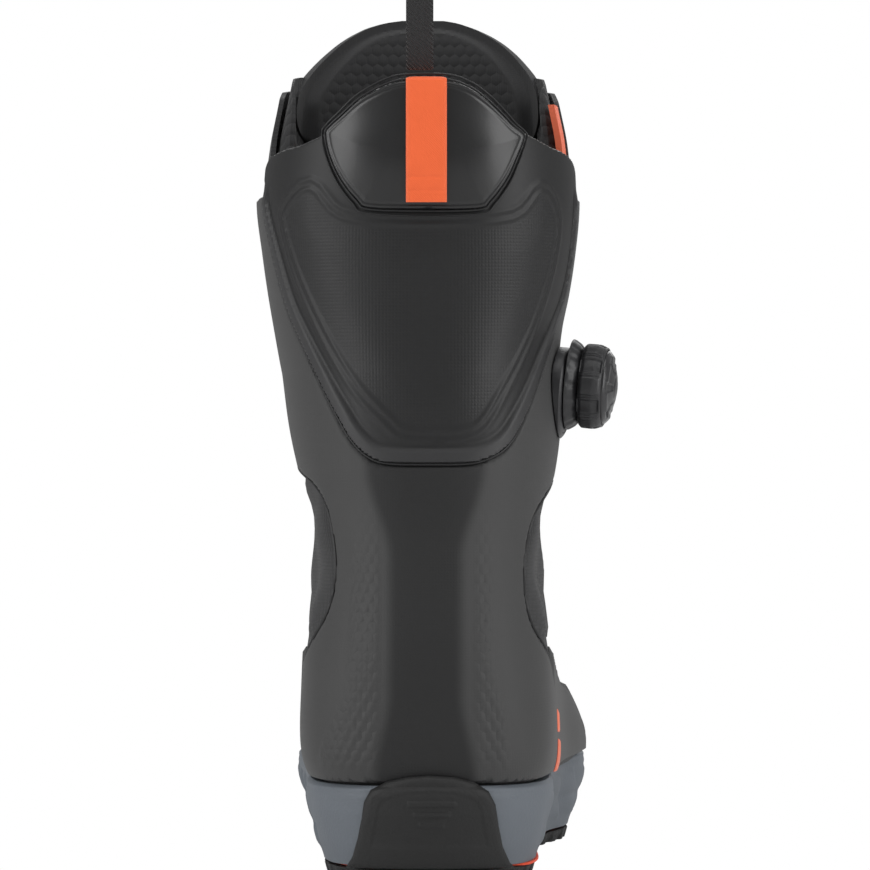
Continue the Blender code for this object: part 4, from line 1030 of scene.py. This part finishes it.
def sole_outline(count):
    """Evenly spaced points of the sole's outline, its outward direction and the length along it."""
    line = curve_through(FOOTPRINT, 24)
    step = np.linalg.norm(np.roll(line, -1, 0) - line, axis=1)
    run = np.concatenate([[0], np.cumsum(step)])
    at = np.linspace(0, run[-1], count, endpoint=False)
    ring = np.concatenate([line, line[:1]])
    line = np.stack([np.interp(at, run, ring[:, k]) for k in (0, 1)], -1)
    ahead = np.roll(line, -1, 0) - np.roll(line, 1, 0)
    ahead /= np.linalg.norm(ahead, axis=1, keepdims=True)
    return line, np.stack([ahead[:, 1], -ahead[:, 0]], -1), at


SOLE_LINE, SOLE_OUT, SOLE_RUN = sole_outline(720)


def sole_ring(profile, relief=None):
    """Grid (level, along): a closed profile of (outwards, z) carried round the sole's outline."""
    profile = np.asarray(profile, float)
    out = np.repeat(profile[:, [0]], len(SOLE_LINE), axis=1)
    z = np.repeat(profile[:, [1]], len(SOLE_LINE), axis=1)
    if relief is not None:
        out = out + relief(np.broadcast_to(SOLE_RUN, out.shape), z, np.arange(len(profile))[:, None])
    xy = SOLE_LINE[None] + SOLE_OUT[None] * out[..., None]
    return np.concatenate([xy, z[..., None]], -1)


def ring_piece(name, grid, material):
    rows, columns = grid.shape[:2]
    faces = quads(rows + 1, columns, True) % (rows * columns)
    middle = grid.mean(axis=0, keepdims=True)
    faces = facing(grid, faces, np.broadcast_to(middle, grid.shape))
    return mesh_piece(name, grid, [faces], material, sharp=35)


SOLE_Z = (5.6, 7.4, 12.4, 25.4, 32.4, 34.7, 35.9)
SOLE_LEAN = (-6.9, -6.4, -4.6, -1.0, 0.0, -0.4, -1.8)


def midsole_relief(run, z, level):
    """Cut facets: shallow steps that slant down and forwards on the sides, none on the inside."""
    total = SOLE_RUN[-1] + SOLE_RUN[1]
    round_ = run / total
    side = smooth((np.minimum(round_, 1 - round_) - 0.085) / 0.03)
    slant = run / 26.0 + z / 24.0
    tooth = (slant % 1.0)
    cut = 1.3 * smooth(tooth / 0.75) * smooth((1 - tooth) / 0.08) - 0.5
    shown = smooth((z - 9) / 3) * smooth((31 - z) / 3)
    waist = -1.2 * ridge(z, 19.0, 2.2)
    return np.where(level < 40, side * shown * (cut + waist * 0.6) - 0.35 * ridge(z, 33.0, 0.7), 0.0)


def make_midsole(material):
    z = np.concatenate([span(5.6, 8.6, 5), span(9.2, 33.4, 28), span(33.9, 35.9, 7)])
    lean = np.interp(z, SOLE_Z, SOLE_LEAN)
    outer = list(zip(lean, z))
    inner = [(-4.5, 35.9), (-6.5, 35.2), (-7.5, 33.0), (-9.5, 24.0), (-13.0, 14.0), (-12.0, 5.8)]
    piece = ring_piece("midsole_wall", sole_ring(outer + inner, midsole_relief), material)
    dress(piece, "midsole")


def tread(x, y):
    """Depth of the tread at (x, y): slanted cross grooves, deeper and closer at toe and heel."""
    waist = smooth((y + 88) / 12) * smooth((18 - y) / 12)
    wave = (y + 0.22 * np.abs(x)) / 15.0
    cross = smooth((np.abs((wave % 1.0) - 0.5) - 0.30) / 0.05)
    middle = smooth((2.0 - np.abs(x)) / 0.8)
    return 2.6 * np.maximum(cross, middle) * (1 - 0.75 * waist)


def make_outsole(material, accent):
    """Black tread: rings from the middle line out to the edge, up the side and back inside."""
    line, out = SOLE_LINE, SOLE_OUT
    teeth = smooth((np.cos(SOLE_RUN * 2 * math.pi / 15.0) + 0.2) / 0.5)
    edge = line + out * (-9.4 + 1.2 * teeth)[:, None]
    upper = line + out * (-7.5 + 0.4 * teeth)[:, None]
    bow = np.interp(line[:, 1], (-150, -60, 20, 90, 156), (0, 0, 2, 3, 0))
    spine = np.stack([bow, line[:, 1] * 0.93], -1)
    share = np.linspace(0, 1, 46) ** 0.8
    flat = spine[None] + (edge - spine)[None] * share[:, None, None]
    low = tread(flat[..., 0], flat[..., 1]) * smooth((1 - share) / 0.03)[:, None]
    bottom = np.concatenate([flat, low[..., None]], -1)
    grid = [*bottom]
    for start, u, z in (
        (edge, 0.15, 0.5), (edge, 0.6, 2.2), (edge, 1.0, 3.8), (edge, 0.85, 4.4),
        (spine, 0.7, 4.4), (spine, 0.3, 4.4), (spine, 0.0, 4.4),
    ):
        grid.append(np.concatenate([start + (upper - start) * u, np.full((len(line), 1), z)], -1))
    grid = np.stack(grid)
    faces = quads(len(grid), len(line), True)
    middle = np.broadcast_to(np.array([3.0, 0.0, 3.5]), grid.shape)
    piece = mesh_piece("outsole_tread", grid, [facing(grid, faces, middle)], material, None, "boot", 30)
    dress(piece, "outsole")
    plate = [(-7.8, 4.6), (-7.1, 4.7), (-7.0, 5.2), (-7.3, 5.5), (-12.0, 5.5), (-12.0, 4.6)]
    x, y = SOLE_LINE[:, 0], SOLE_LINE[:, 1]
    shown = smooth((x - 24) / 8) * smooth((-20 - y) / 20) * smooth((y + 134) / 12)
    strip = ring_piece("accent_strip", sole_ring(plate, lambda run, z, level: 4.6 * shown - 3.4), accent)
    dress(strip, "accent_plate")


ARCH = [
    (-32.5, 4.9), (-29.5, 9.0), (-27.0, 16.0), (-25.0, 24.0), (-24.0, 30.0), (-21.5, 34.6),
    (-16.0, 37.6), (-8.0, 39.4), (0.0, 40.0), (9.0, 39.4), (17.0, 37.4), (22.0, 34.0),
    (24.5, 29.0), (26.0, 21.0), (28.0, 13.0), (31.5, 6.5), (33.5, 4.9),
]


def bumper_relief(x, z, d):
    """Rounded rim and a shallow sunk field with three bars in it."""
    edge = 2.2 * bevel(d / 2.6)
    field = 0.35 * smooth((d - 5.0) / 1.2) * smooth((z - 12) / 3)
    bars = sum(
        0.45 * smooth((wide - np.abs(x - 1.0)) / 0.8) * smooth((1.25 - np.abs(z - high)) / 0.5)
        for wide, high in ((9.0, 29.5), (7.0, 25.6), (5.0, 21.7))
    )
    return -edge - field + bars


def make_bumper(material):
    """The rubber guard on the heel: the sole's outline moved out by 0.3 to 3.5, cut to an arch."""
    z = span(4.9, 41.0, 100)
    x = span(-35, 35, 170)
    near = (np.abs(SOLE_LINE[:, 0]) < 44) & (SOLE_LINE[:, 1] < -100)
    order = np.argsort(SOLE_LINE[near, 0])
    px, py = SOLE_LINE[near][order].T
    nx, ny = SOLE_OUT[near][order].T
    base_y, out_x, out_y = (np.interp(x, px, v) for v in (py, nx, ny))
    zz, xx = np.meshgrid(z, x, indexing="ij")
    for _ in range(4):
        d = inside(xx, zz, ARCH)
        e = 0.05
        gx, gz = (inside(xx + e, zz, ARCH) - d) / e, (inside(xx, zz + e, ARCH) - d) / e
        pull = np.where(np.abs(d) < 0.35, -d, 0)
        xx, zz = xx + pull * gx, zz + pull * gz
    d = inside(xx, zz, ARCH)
    lean = np.interp(zz, SOLE_Z, SOLE_LEAN)
    y0, ox, oy = (np.interp(xx, x, v) for v in (base_y, out_x, out_y))

    def at(offset):
        move = lean + offset
        return np.stack([xx + ox * move * 0.35, y0 + oy * move, zz], -1)

    outer, inner = at(3.5 + bumper_relief(xx, zz, np.maximum(d, 0))), at(0.3)
    keep = (d > -0.1).ravel()[quads(*xx.shape)].all(1)
    piece = closed_sheet("heel_guard", outer, inner, material, keep=keep)
    dress(piece, "heel_bumper")


# ---------------------------------------------------------------- reel and lace
WALLS = 2.0 + 1.1 + 2.0 + 0.6  # base layer, clearance, cuff, two gaps
LACE_R, POST_R = 0.6, 4.0
LACE_T = 2.0 + 2.0 + 2.2 + LACE_R
GUIDE_S = (1.18, 1.52, 1.86, 2.18)
REEL_S, REEL_A, REEL_R = 1.985, math.radians(101.0), 20.5
KNOB_FOOT, KNOB_R, KNOB_HIGH = 4.9, 16.6, 9.0


def local_frame(s, a, t):
    """A point of a layer with the directions round and up the form, outwards, and their scales."""
    p = form(s, a, t)
    round_, up = (form(s, a + 1e-3, t) - p) / 1e-3, (form(s + 1e-3, a, t) - p) / 1e-3
    size_a, size_s = np.linalg.norm(round_), np.linalg.norm(up)
    round_ = round_ / size_a
    out = np.cross(up, round_)
    out = out / np.linalg.norm(out)
    if np.dot(out, form(s, a, t + 1.0) - p) < 0:
        out = -out
    up_ = np.cross(out, round_)
    if np.dot(up_, up) < 0:
        up_ = -up_
    return p, round_, up_, out, size_a, size_s


def reel_axis():
    """The middle of the base's flat top, the direction it faces, and a direction up across it."""
    turn = np.linspace(0, 2 * math.pi, 24, endpoint=False)
    p, _, _, _, size_a, size_s = local_frame(REEL_S, REEL_A, WALLS)
    down, back = math.radians(5.0), math.radians(9.5)
    out = np.array([math.cos(down) * math.cos(back), -math.cos(down) * math.sin(back), -math.sin(down)])
    rim = form(REEL_S + REEL_R * np.sin(turn) / size_s, REEL_A + REEL_R * np.cos(turn) / size_a, WALLS)
    high = max(np.max((rim - p) @ out), 0.0) + 1.2
    up = np.array([0.0, 0.0, 1.0])
    up = up - out * np.dot(up, out)
    return p + out * high, out, up / np.linalg.norm(up)


def rounded(profile, radius=0.35, steps=3):
    """The same closed profile with each corner cut back and turned through a few points."""
    p = np.asarray(profile, float)
    before, after = np.roll(p, 1, 0) - p, np.roll(p, -1, 0) - p
    lb, la = (np.linalg.norm(v, axis=1, keepdims=True) for v in (before, after))
    start = p + before / lb * np.minimum(radius, lb * 0.45)
    stop = p + after / la * np.minimum(radius, la * 0.45)
    u = np.linspace(0, 1, steps + 1)[None, :, None]
    curve = (1 - u) ** 2 * start[:, None] + 2 * u * (1 - u) * p[:, None] + u**2 * stop[:, None]
    return curve.reshape(-1, 2)


def make_reel(plastic, smooth_plastic):
    origin, out, up = reel_axis()
    _, _, _, _, size_a, size_s = local_frame(REEL_S, REEL_A, WALLS)
    turn = np.linspace(0, 2 * math.pi, 96, endpoint=False)[None, :]
    r = np.concatenate([span(0, 0.8, 8), span(0.84, 1.0, 8)])[:, None] * REEL_R
    under = form(REEL_S + r * np.sin(turn) / size_s, REEL_A + r * np.cos(turn) / size_a, WALLS)
    rise = (origin - under) @ out
    share = r / REEL_R
    rise = rise - 1.1 * np.clip((share - 0.9) / 0.1, 0, 1) ** 2 - 0.35 * ridge(share, 0.88, 0.012)
    upper = under + np.maximum(rise, 0.25)[..., None] * out
    flange = closed_sheet("reel_flange", upper, under, plastic, wrap=True)
    axis = (origin + out * 0.3, out, up)
    cup = [
        (17.5, 0.05), (17.2, 1.2), (15.9, 3.2), (14.3, 4.6), (11.8, 4.6), (11.4, 4.0), (5.4, 4.0),
        (5.0, 4.6), (4.8, 4.6), (4.8, 3.4), (12.0, 3.4), (12.0, 0.05),
    ]

    def ribs(angle, r, h):
        shown = smooth((r - 13.5) / 1.0) * smooth((h - 0.6) / 0.5)
        return r - 0.35 * shown * smooth(np.cos(18 * angle) / 0.3 - 1.5), h

    house = turned("reel_case", rounded(cup), 144, plastic, axis, "boot", ribs)

    def grip_wave(angle, r, h):
        """Six lobes, each a smooth raised pad then a hollow with fine ribs, on the outer wall."""
        wall = smooth((r - 15.2) / 0.8)
        lobe = 0.5 + 0.5 * np.cos(6 * angle)
        pad = smooth((lobe - 0.62) / 0.12)
        hollow = smooth((0.34 - lobe) / 0.12)
        fine = np.maximum(np.cos(72 * angle), 0) * smooth((0.60 - lobe) / 0.1) * (1 - hollow)
        return r + wall * (0.42 * pad - 0.75 * hollow + 0.25 * fine * (1 - pad) - 0.15), h

    core = KNOB_R - 2.6
    rim = KNOB_FOOT + KNOB_HIGH
    grip = [
        (core + 0.3, KNOB_FOOT), (KNOB_R - 1.4, KNOB_FOOT), (KNOB_R, KNOB_FOOT + 1.4),
        (KNOB_R + 0.1, rim - 3.4), (KNOB_R - 0.9, rim - 0.8), (KNOB_R - 1.6, rim), (core + 0.3, rim),
    ]
    ring = turned("dial_ring", rounded(grip, 0.6, 5), 288, plastic, axis, "dial_knob", grip_wave)

    def cap_wave(angle, r, h):
        """Six shallow spokes on the crown, and a fine ring round its middle."""
        top = smooth((h - rim) / 0.5)
        spoke = smooth((np.cos(6 * angle) - 0.35) / 0.25)
        spoke = spoke * smooth((r - 5.5) / 1.2) * smooth((core - 1.2 - r) / 1.2)
        return r, h - top * 0.55 * spoke - top * 0.3 * ridge(r, 4.6, 0.5)

    low = KNOB_FOOT + 2.3
    radii = [3.6 * k for k in (0.001, 0.4, 0.8, 1.2, 1.6, 2.0, 2.4, 2.8)]
    face = [(r, rim + 4.4 - 0.02 * r**2.0) for r in radii]
    cap = [(0.004, low), (core, low), (core, rim + 0.6)] + [
        (core - 1.0, rim + 1.5), (core - 2.0, rim + 2.3)] + [(r, h) for r, h in face[::-1] if r < core - 2.2]
    lid = turned("dial_crown", rounded(cap, 0.25, 2), 180, smooth_plastic, axis, "dial_knob", cap_wave)
    nodes = ("reel_base", "reel_housing", "knob_grip", "knob_cap")
    for piece, node in zip((flange, house, ring, lid), nodes):
        dress(piece, node)


def guide_angle(s, side):
    return float(throat_angle(s, side, -8.5))


def lace_line():
    """From the reel, over the throat from side to side round the guides, to its fixed end."""
    turn, foot = POST_R + LACE_R + 0.25, 3.1
    origin, out, up = reel_axis()
    ahead = np.cross(out, up)
    ahead = ahead if ahead[1] > 0 else -ahead
    lift = origin + out * 2.2
    _, _, _, _, size_a, size_s = local_frame(REEL_S, REEL_A, LACE_T)
    route = (REEL_S + 6 / size_s, REEL_A - 38.0 / size_a, LACE_T + 0.3)
    points = [lift + ahead * 13.9, lift + ahead * (REEL_R + 5.5), form(*route)]
    stops = [(s, side) for s in reversed(GUIDE_S) for side in (1, -1)]
    for k, (s, side) in enumerate(stops):
        a = guide_angle(s, side)
        p, round_, up, out, size_a, size_s = local_frame(s, a, foot + 0.35)
        middle = p + out * (LACE_T - foot)
        goal = (s + (turn if k else -turn) / size_s, a, LACE_T)
        steps = 14 if k else 6
        for j in range(1, steps):
            s_, a_, t_ = (x + (y - x) * j / steps for x, y in zip(route, goal))
            points.append(form(s_, a_, t_ - (2.3 * math.sin(math.pi * j / steps) ** 0.8 if k else 0.0)))
        for degrees in np.linspace(90, -90, 12) if k else [-90.0]:
            v = math.radians(degrees)
            points.append(middle + turn * (round_ * side * math.cos(v) + up * math.sin(v)))
        route = (s - turn / size_s, a, LACE_T)
    return np.array(points)


def make_lace(material):
    """Two halves that meet at the middle of the tongue."""
    line = curve_through(lace_line(), 3, closed=False)
    cuts = np.where(np.sign(line[:-1, 0]) != np.sign(line[1:, 0]))[0]
    before, after = line[cuts], line[cuts + 1]
    crossing = before + (after - before) * (before[:, [0]] / (before[:, [0]] - after[:, [0]]))
    halves = {1: [], -1: []}
    for k, (start, stop) in enumerate(zip([0, *cuts + 1], [*cuts + 1, len(line)])):
        run = np.concatenate([crossing[max(k - 1, 0) : k], line[start:stop], crossing[k : k + 1]])
        gap = np.linalg.norm(np.diff(run, axis=0), axis=1)
        run_side = 1 if run[:, 0].mean() > 0 else -1
        halves[run_side].append(run[np.concatenate([[True], gap > 1e-3])])
    for side, name in ((1, "lace_outer_half"), (-1, "lace_inner_half")):
        points, faces, caps, count = [], [], [], 0
        for run in halves[side]:
            p, f, c = tube_mesh(run, LACE_R, (0.37, 0.21, 0.90))
            points.append(p)
            faces.append(f + count)
            caps.append(c + count)
            count += len(p)
        faces = [np.concatenate(faces), np.concatenate(caps)]
        piece = mesh_piece(name, np.concatenate(points), faces, material, None, None)
        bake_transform(piece)
        dress(piece, "lace" if side > 0 else None)


def make_guides(material):
    """Grooved posts with rounded flanges at both edges of the throat."""
    foot = 3.1
    low, high = LACE_T - 0.9 - foot, LACE_T + 0.9 - foot
    profile = rounded([
        (0.004, 0), (6.2, 0), (6.2, low * 0.6), (POST_R, low), (POST_R, high), (6.2, high + 0.3),
        (5.6, high + 1.1), (1.9, high + 1.1), (1.6, high + 0.5), (0.004, high + 0.5),
    ], 0.3, 3)
    for side, word in ((1, "outer"), (-1, "inner")):
        for k, s in enumerate(GUIDE_S):
            p, _, up, out, _, _ = local_frame(s, guide_angle(s, side), foot + 0.35)
            piece = turned(f"lace_post_{word}_{k + 1}", profile, 48, material, (p, out, up))
            dress(piece, f"lace_guide_{word}_{k + 1}")


# ---------------------------------------------------------------- webbing and small trim
def strip(name, line, width, thick, x, material, body, closed=False, across=17, ridges=None):
    """Webbing: a line of (y, z) carried across its width, thinner and rounded at its edges."""
    line = np.asarray(line, float)
    tangent = (np.roll(line, -1, 0) - np.roll(line, 1, 0)) if closed else np.gradient(line, axis=0)
    normal = np.stack([tangent[:, 1], -tangent[:, 0]], -1)
    normal /= np.linalg.norm(normal, axis=1, keepdims=True)
    u = np.sin(np.linspace(-1, 1, across) * math.pi / 2)
    half = thick / 2 * np.sqrt(np.maximum(1 - np.abs(u) ** 6, 0.04))
    run = np.concatenate([[0], np.cumsum(np.linalg.norm(np.diff(line, axis=0), axis=1))])
    half = half[:, None] + (ridges(u[:, None] * width / 2, run[None, :]) if ridges else 0 * run)
    xs = np.repeat((x + width / 2 * u)[:, None], len(line), axis=1)[..., None]
    faces = [np.concatenate([xs, line[None] + normal[None] * (half * k)[..., None]], -1) for k in (1, -1)]
    return closed_sheet(name, *faces, material, wrap=closed, body=body)


def make_webbing(orange, black):
    tab_y, hinge_z, collar_y = -141.39, 297.5, -131.29
    low = hinge_z + 0.6
    anchor = [
        (collar_y + 6.0, low - 0.4), (collar_y + 2, low + 0.2), (collar_y - 3, low + 0.5),
        (tab_y + 2.2, low + 0.4), (tab_y + 0.6, low - 0.1), (tab_y, low - 1.0),
    ]
    piece = strip("tab_fold", curve_through(anchor, 8, closed=False), 15.2, 1.7, -1.0, orange, "boot")
    dress(piece, "tab_anchor")
    line = [(tab_y, hinge_z + 0.3)]
    line += [(tab_y - 0.6 * math.sin(k / 30 * math.pi), hinge_z - 45.0 * k / 30) for k in range(1, 31)]

    def hem(across, run):
        """A stitched bar near the foot and a plain sunk line above it."""
        return -0.22 * ridge(run, 36.0, 0.5) - 0.22 * ridge(run, 41.0, 0.5) + 0 * across

    line = curve_through(line, 3, closed=False)
    piece = strip("heel_tab_tape", line, 15.2, 1.7, -1.0, orange, "tab", ridges=hem)
    dress(piece, "heel_tab")
    loop_y, foot_z = -130.29, 303.0
    bow = ((0.08, 2.8), (0.3, 5.6), (0.6, 7.0), (0.85, 5.6), (0.96, 2.8))
    loop = [(loop_y, foot_z), *((loop_y - out, foot_z + 54.0 * share) for share, out in bow)]
    loop += [(loop_y, foot_z + 54.0), *((loop_y + out, foot_z + 54.0 * share) for share, out in bow[::-1])]
    piece = strip("pull_loop", curve_through(loop, 12), 10.2, 1.35, -3.5, black, "strap", closed=True)
    dress(piece, "pull_strap")


def patch(name, corners, t, thick, material, rows=26, columns=18):
    """A small flat piece on the outer side between four (y, z) corners, with rounded edges."""
    c = np.asarray(corners, float)
    u, v = np.meshgrid(np.linspace(0, 1, columns), np.linspace(0, 1, rows))
    points = (
        c[0] * ((1 - u) * (1 - v))[..., None] + c[1] * (u * (1 - v))[..., None]
        + c[2] * (u * v)[..., None] + c[3] * ((1 - u) * v)[..., None]
    )
    s, a = on_side(points[..., 0], points[..., 1], 1, t)
    near = np.minimum.reduce([u, 1 - u, v, 1 - v])
    lift = thick * np.sqrt(np.clip(1 - (1 - np.clip(near / 0.12, 0, 1)) ** 2, 0.02, 1))
    return closed_sheet(name, form(s, a, t + lift), form(s, a, t - 0.15), material)


def on_side(y, z, side, t):
    """(s, a) of the layer t at (y, z) on one side, by Newton's steps on both coordinates."""
    s = np.full(np.shape(y), 1.35)
    a = np.full(np.shape(y), side * math.radians(95.0)) % (2 * math.pi)
    for _ in range(40):
        p = form(s, a, t)
        ps, pa = (form(s + 1e-4, a, t) - p) / 1e-4, (form(s, a + 1e-4, t) - p) / 1e-4
        ey, ez = y - p[..., 1], z - p[..., 2]
        det = ps[..., 1] * pa[..., 2] - ps[..., 2] * pa[..., 1]
        det = np.where(np.abs(det) < 1.0, 1.0, det)
        s = s + np.clip((ey * pa[..., 2] - ez * pa[..., 1]) / det, -0.05, 0.05)
        a = a + np.clip((ez * ps[..., 1] - ey * ps[..., 2]) / det, -0.05, 0.05)
    return s, a


def make_trim(orange):
    bars = (
        ("quarter_mark_short", "quarter_bar_2", [(-82, 52.5), (-62, 51.0), (-58, 58.5), (-78, 61.0)]),
        ("quarter_mark_long", "quarter_bar_1", [(-74, 36.5), (-56, 35.5), (-59, 48.0), (-78, 49.5)]),
    )
    for name, node, corners in bars:
        piece = patch(name, corners, 5.15, 0.5, orange)
        dress(piece, node)
    s, a = np.meshgrid(height(span(271.5, 292.0, 24)), math.radians(97) + span(0.0, 0.2, 16), indexing="ij")
    tag = closed_sheet("collar_tag", form(s, a, 1.2), form(s, a, -1.2), orange)
    dress(tag, "side_tag")


# ---------------------------------------------------------------- the whole boot
def dress_inner_nodes(fibre, foam, metal):
    kept = (("lasting_board", fibre), ("footbed", foam), ("spool", metal), ("knob_core", metal))
    for node, finish in kept:
        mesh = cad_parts[node].data
        mesh.materials.clear()
        mesh.materials.append(finish)


def make_boot():
    # the cuff's edge tint is painted shade along its cut edges, where the cloth rolls down into the seams
    shell = cloth_finish(
        "cuff_softshell", srgb(58, 58, 58), 0.62,
        [(SCALES, 0.0042, "embossed", 0.55, 0.0007), (WEAVE, 0.0011, None, 0.12, 0.0002)],
        # the spine tint is partly the strip's own darker colour and partly painted shade down the middle of
        # the back
        [("spine", srgb(16, 16, 17)), ("edge", srgb(22, 22, 23))], sheen=0.06,
    )
    panel = cloth_finish(
        "cuff_panel_moulded", srgb(22, 22, 23), 0.5, [(WEAVE, 0.0013, "woven", 0.25, 0.00025)],
        # the panel's edge tint is painted shade at its seam edge and in its sunk line
        [("band", srgb(46, 46, 47)), ("edge", srgb(18, 18, 19))],
    )
    # the collar's edge tint is painted shade in the sunk groove inside its rim
    gloss = cloth_finish("collar_gloss", srgb(20, 20, 21), 0.36, [], [("edge", srgb(14, 14, 15))], coat=0.3)
    ankle = cloth_finish(
        "ankle_stretch_cloth", srgb(44, 44, 45), 0.75, [(WEAVE, 0.0014, None, 0.35, 0.0004)], sheen=0.1,
    )
    lining = lining_finish()
    line = plain_finish("seam_binding", srgb(27, 27, 28), 0.5)
    moulded = plain_finish("tongue_plastic", srgb(38, 38, 39), 0.5, 0.5)
    toe = plain_finish("toe_rubber", srgb(32, 32, 33), 0.6, 0.8)
    foam = plain_finish("midsole_foam", srgb(104, 110, 117), 0.62, 0.6)
    rubber = plain_finish("tread_rubber", srgb(26, 26, 26), 0.62, 0.8)
    strip_orange = plain_finish("orange_sole_strip", srgb(240, 80, 44), 0.6, 0.4)
    tape = webbing_finish("orange_tape", srgb(255, 104, 48), 0.55, 0.1, 0.0009, 0.25, 0.0002)
    orange = plain_finish("orange_print", srgb(255, 120, 84), 0.5, 0.3)
    webbing = webbing_finish("black_twill", srgb(32, 31, 32))
    cord = webbing_finish("black_cord", srgb(30, 30, 31))
    plastic = plain_finish("reel_matt_plastic", srgb(40, 40, 42), 0.42, 0.3, coat=0.1)
    crown = plain_finish("reel_crown_plastic", srgb(34, 34, 36), 0.3, 0.15, coat=0.3)
    fibre = plain_finish("board_fibre", srgb(150, 138, 118), 0.85, 0.9)
    bed = plain_finish("footbed_cloth", srgb(52, 52, 54), 0.9, 0.9, sheen=0.3)
    metal = plain_finish("reel_core_metal", srgb(150, 150, 152), 0.35, 0.2, metallic=0.9)
    make_ankle_cloth(ankle)
    make_liner(lining)
    make_tongue_lining(lining)
    make_tongue_shell(moulded)
    make_cuff(shell, line)
    make_eyestay(moulded)
    make_panel(panel, line)
    make_dome(gloss, line)
    make_toe_cap(toe)
    make_midsole(foam)
    make_outsole(rubber, strip_orange)
    make_bumper(rubber)
    make_guides(plastic)
    make_lace(cord)
    make_reel(plastic, crown)
    make_webbing(tape, webbing)
    make_trim(orange)
    dress_inner_nodes(fibre, bed, metal)


# ---------------------------------------------------------------- floor, light and camera
def area_light(name, place, aim, power, size):
    lamp = bpy.data.lights.new(name, "AREA")
    lamp.shape, lamp.size, lamp.size_y, lamp.energy = "RECTANGLE", size[0], size[1], power
    obj = bpy.data.objects.new(name, lamp)
    bpy.context.scene.collection.objects.link(obj)
    obj.location = place
    obj.rotation_euler = (Vector(aim) - Vector(place)).to_track_quat("-Z", "Y").to_euler()


def white_to_camera(tree, surface, strength):
    """Plain white where the camera looks straight at it, and the given surface to all other rays."""
    path = tree.nodes.new("ShaderNodeLightPath")
    mix = tree.nodes.new("ShaderNodeMixShader")
    glow = tree.nodes.new("ShaderNodeEmission")
    glow.inputs["Strength"].default_value = strength
    tree.links.new(path.outputs["Is Camera Ray"], mix.inputs["Fac"])
    tree.links.new(surface, mix.inputs[1])
    tree.links.new(glow.outputs[0], mix.inputs[2])
    return mix.outputs[0]


def make_stage():
    scene = bpy.context.scene
    scene.view_settings.view_transform = "Standard"
    world = bpy.data.worlds.new("studio")
    world.use_nodes = True
    scene.world = world
    tree = world.node_tree
    tree.nodes["Background"].inputs["Strength"].default_value = 0.34
    tree.nodes["Background"].inputs["Color"].default_value = (1.0, 1.0, 1.0, 1.0)
    out = tree.nodes["World Output"]
    tree.links.new(white_to_camera(tree, tree.nodes["Background"].outputs[0], 1.0), out.inputs["Surface"])
    mesh = bpy.data.meshes.new("pale_floor")
    corners = ((-6, -6), (6, -6), (6, 6), (-6, 6))
    mesh.from_pydata([(x, y, -0.0006) for x, y in corners], [], [(0, 1, 2, 3)])
    floor = bpy.data.objects.new("pale_floor", mesh)
    scene.collection.objects.link(floor)
    finish = bpy.data.materials.new("pale_floor_paint")
    finish.use_nodes = True
    tree = finish.node_tree
    shader = tree.nodes["Principled BSDF"]
    shader.inputs["Base Color"].default_value = (0.86, 0.86, 0.86, 1.0)
    shader.inputs["Roughness"].default_value = 0.8
    out = tree.nodes["Material Output"]
    tree.links.new(white_to_camera(tree, shader.outputs[0], 1.0), out.inputs["Surface"])
    mesh.materials.append(finish)
    for name, x in (("soft_left", -1.6), ("soft_right", 1.6)):
        area_light(name, (x, -0.9, 0.7), (0, 0, 0.17), 17, (0.9, 1.8))
    area_light("soft_top", (0.0, -0.5, 1.9), (0, 0, 0.15), 9, (1.6, 1.2))
    area_light("soft_front", (0.2, 2.0, 1.2), (0, 0, 0.15), 10, (1.6, 1.2))
    lens = bpy.data.cameras.new("studio_camera")
    lens.lens, lens.sensor_width = 212.4, 36.0
    camera = bpy.data.objects.new("studio_camera", lens)
    scene.collection.objects.link(camera)
    camera.location = (0.0022, -2.048, 0.166)
    camera.rotation_euler = (math.pi / 2, 0.0, 0.0)
    scene.camera = camera


make_boot()
make_stage()
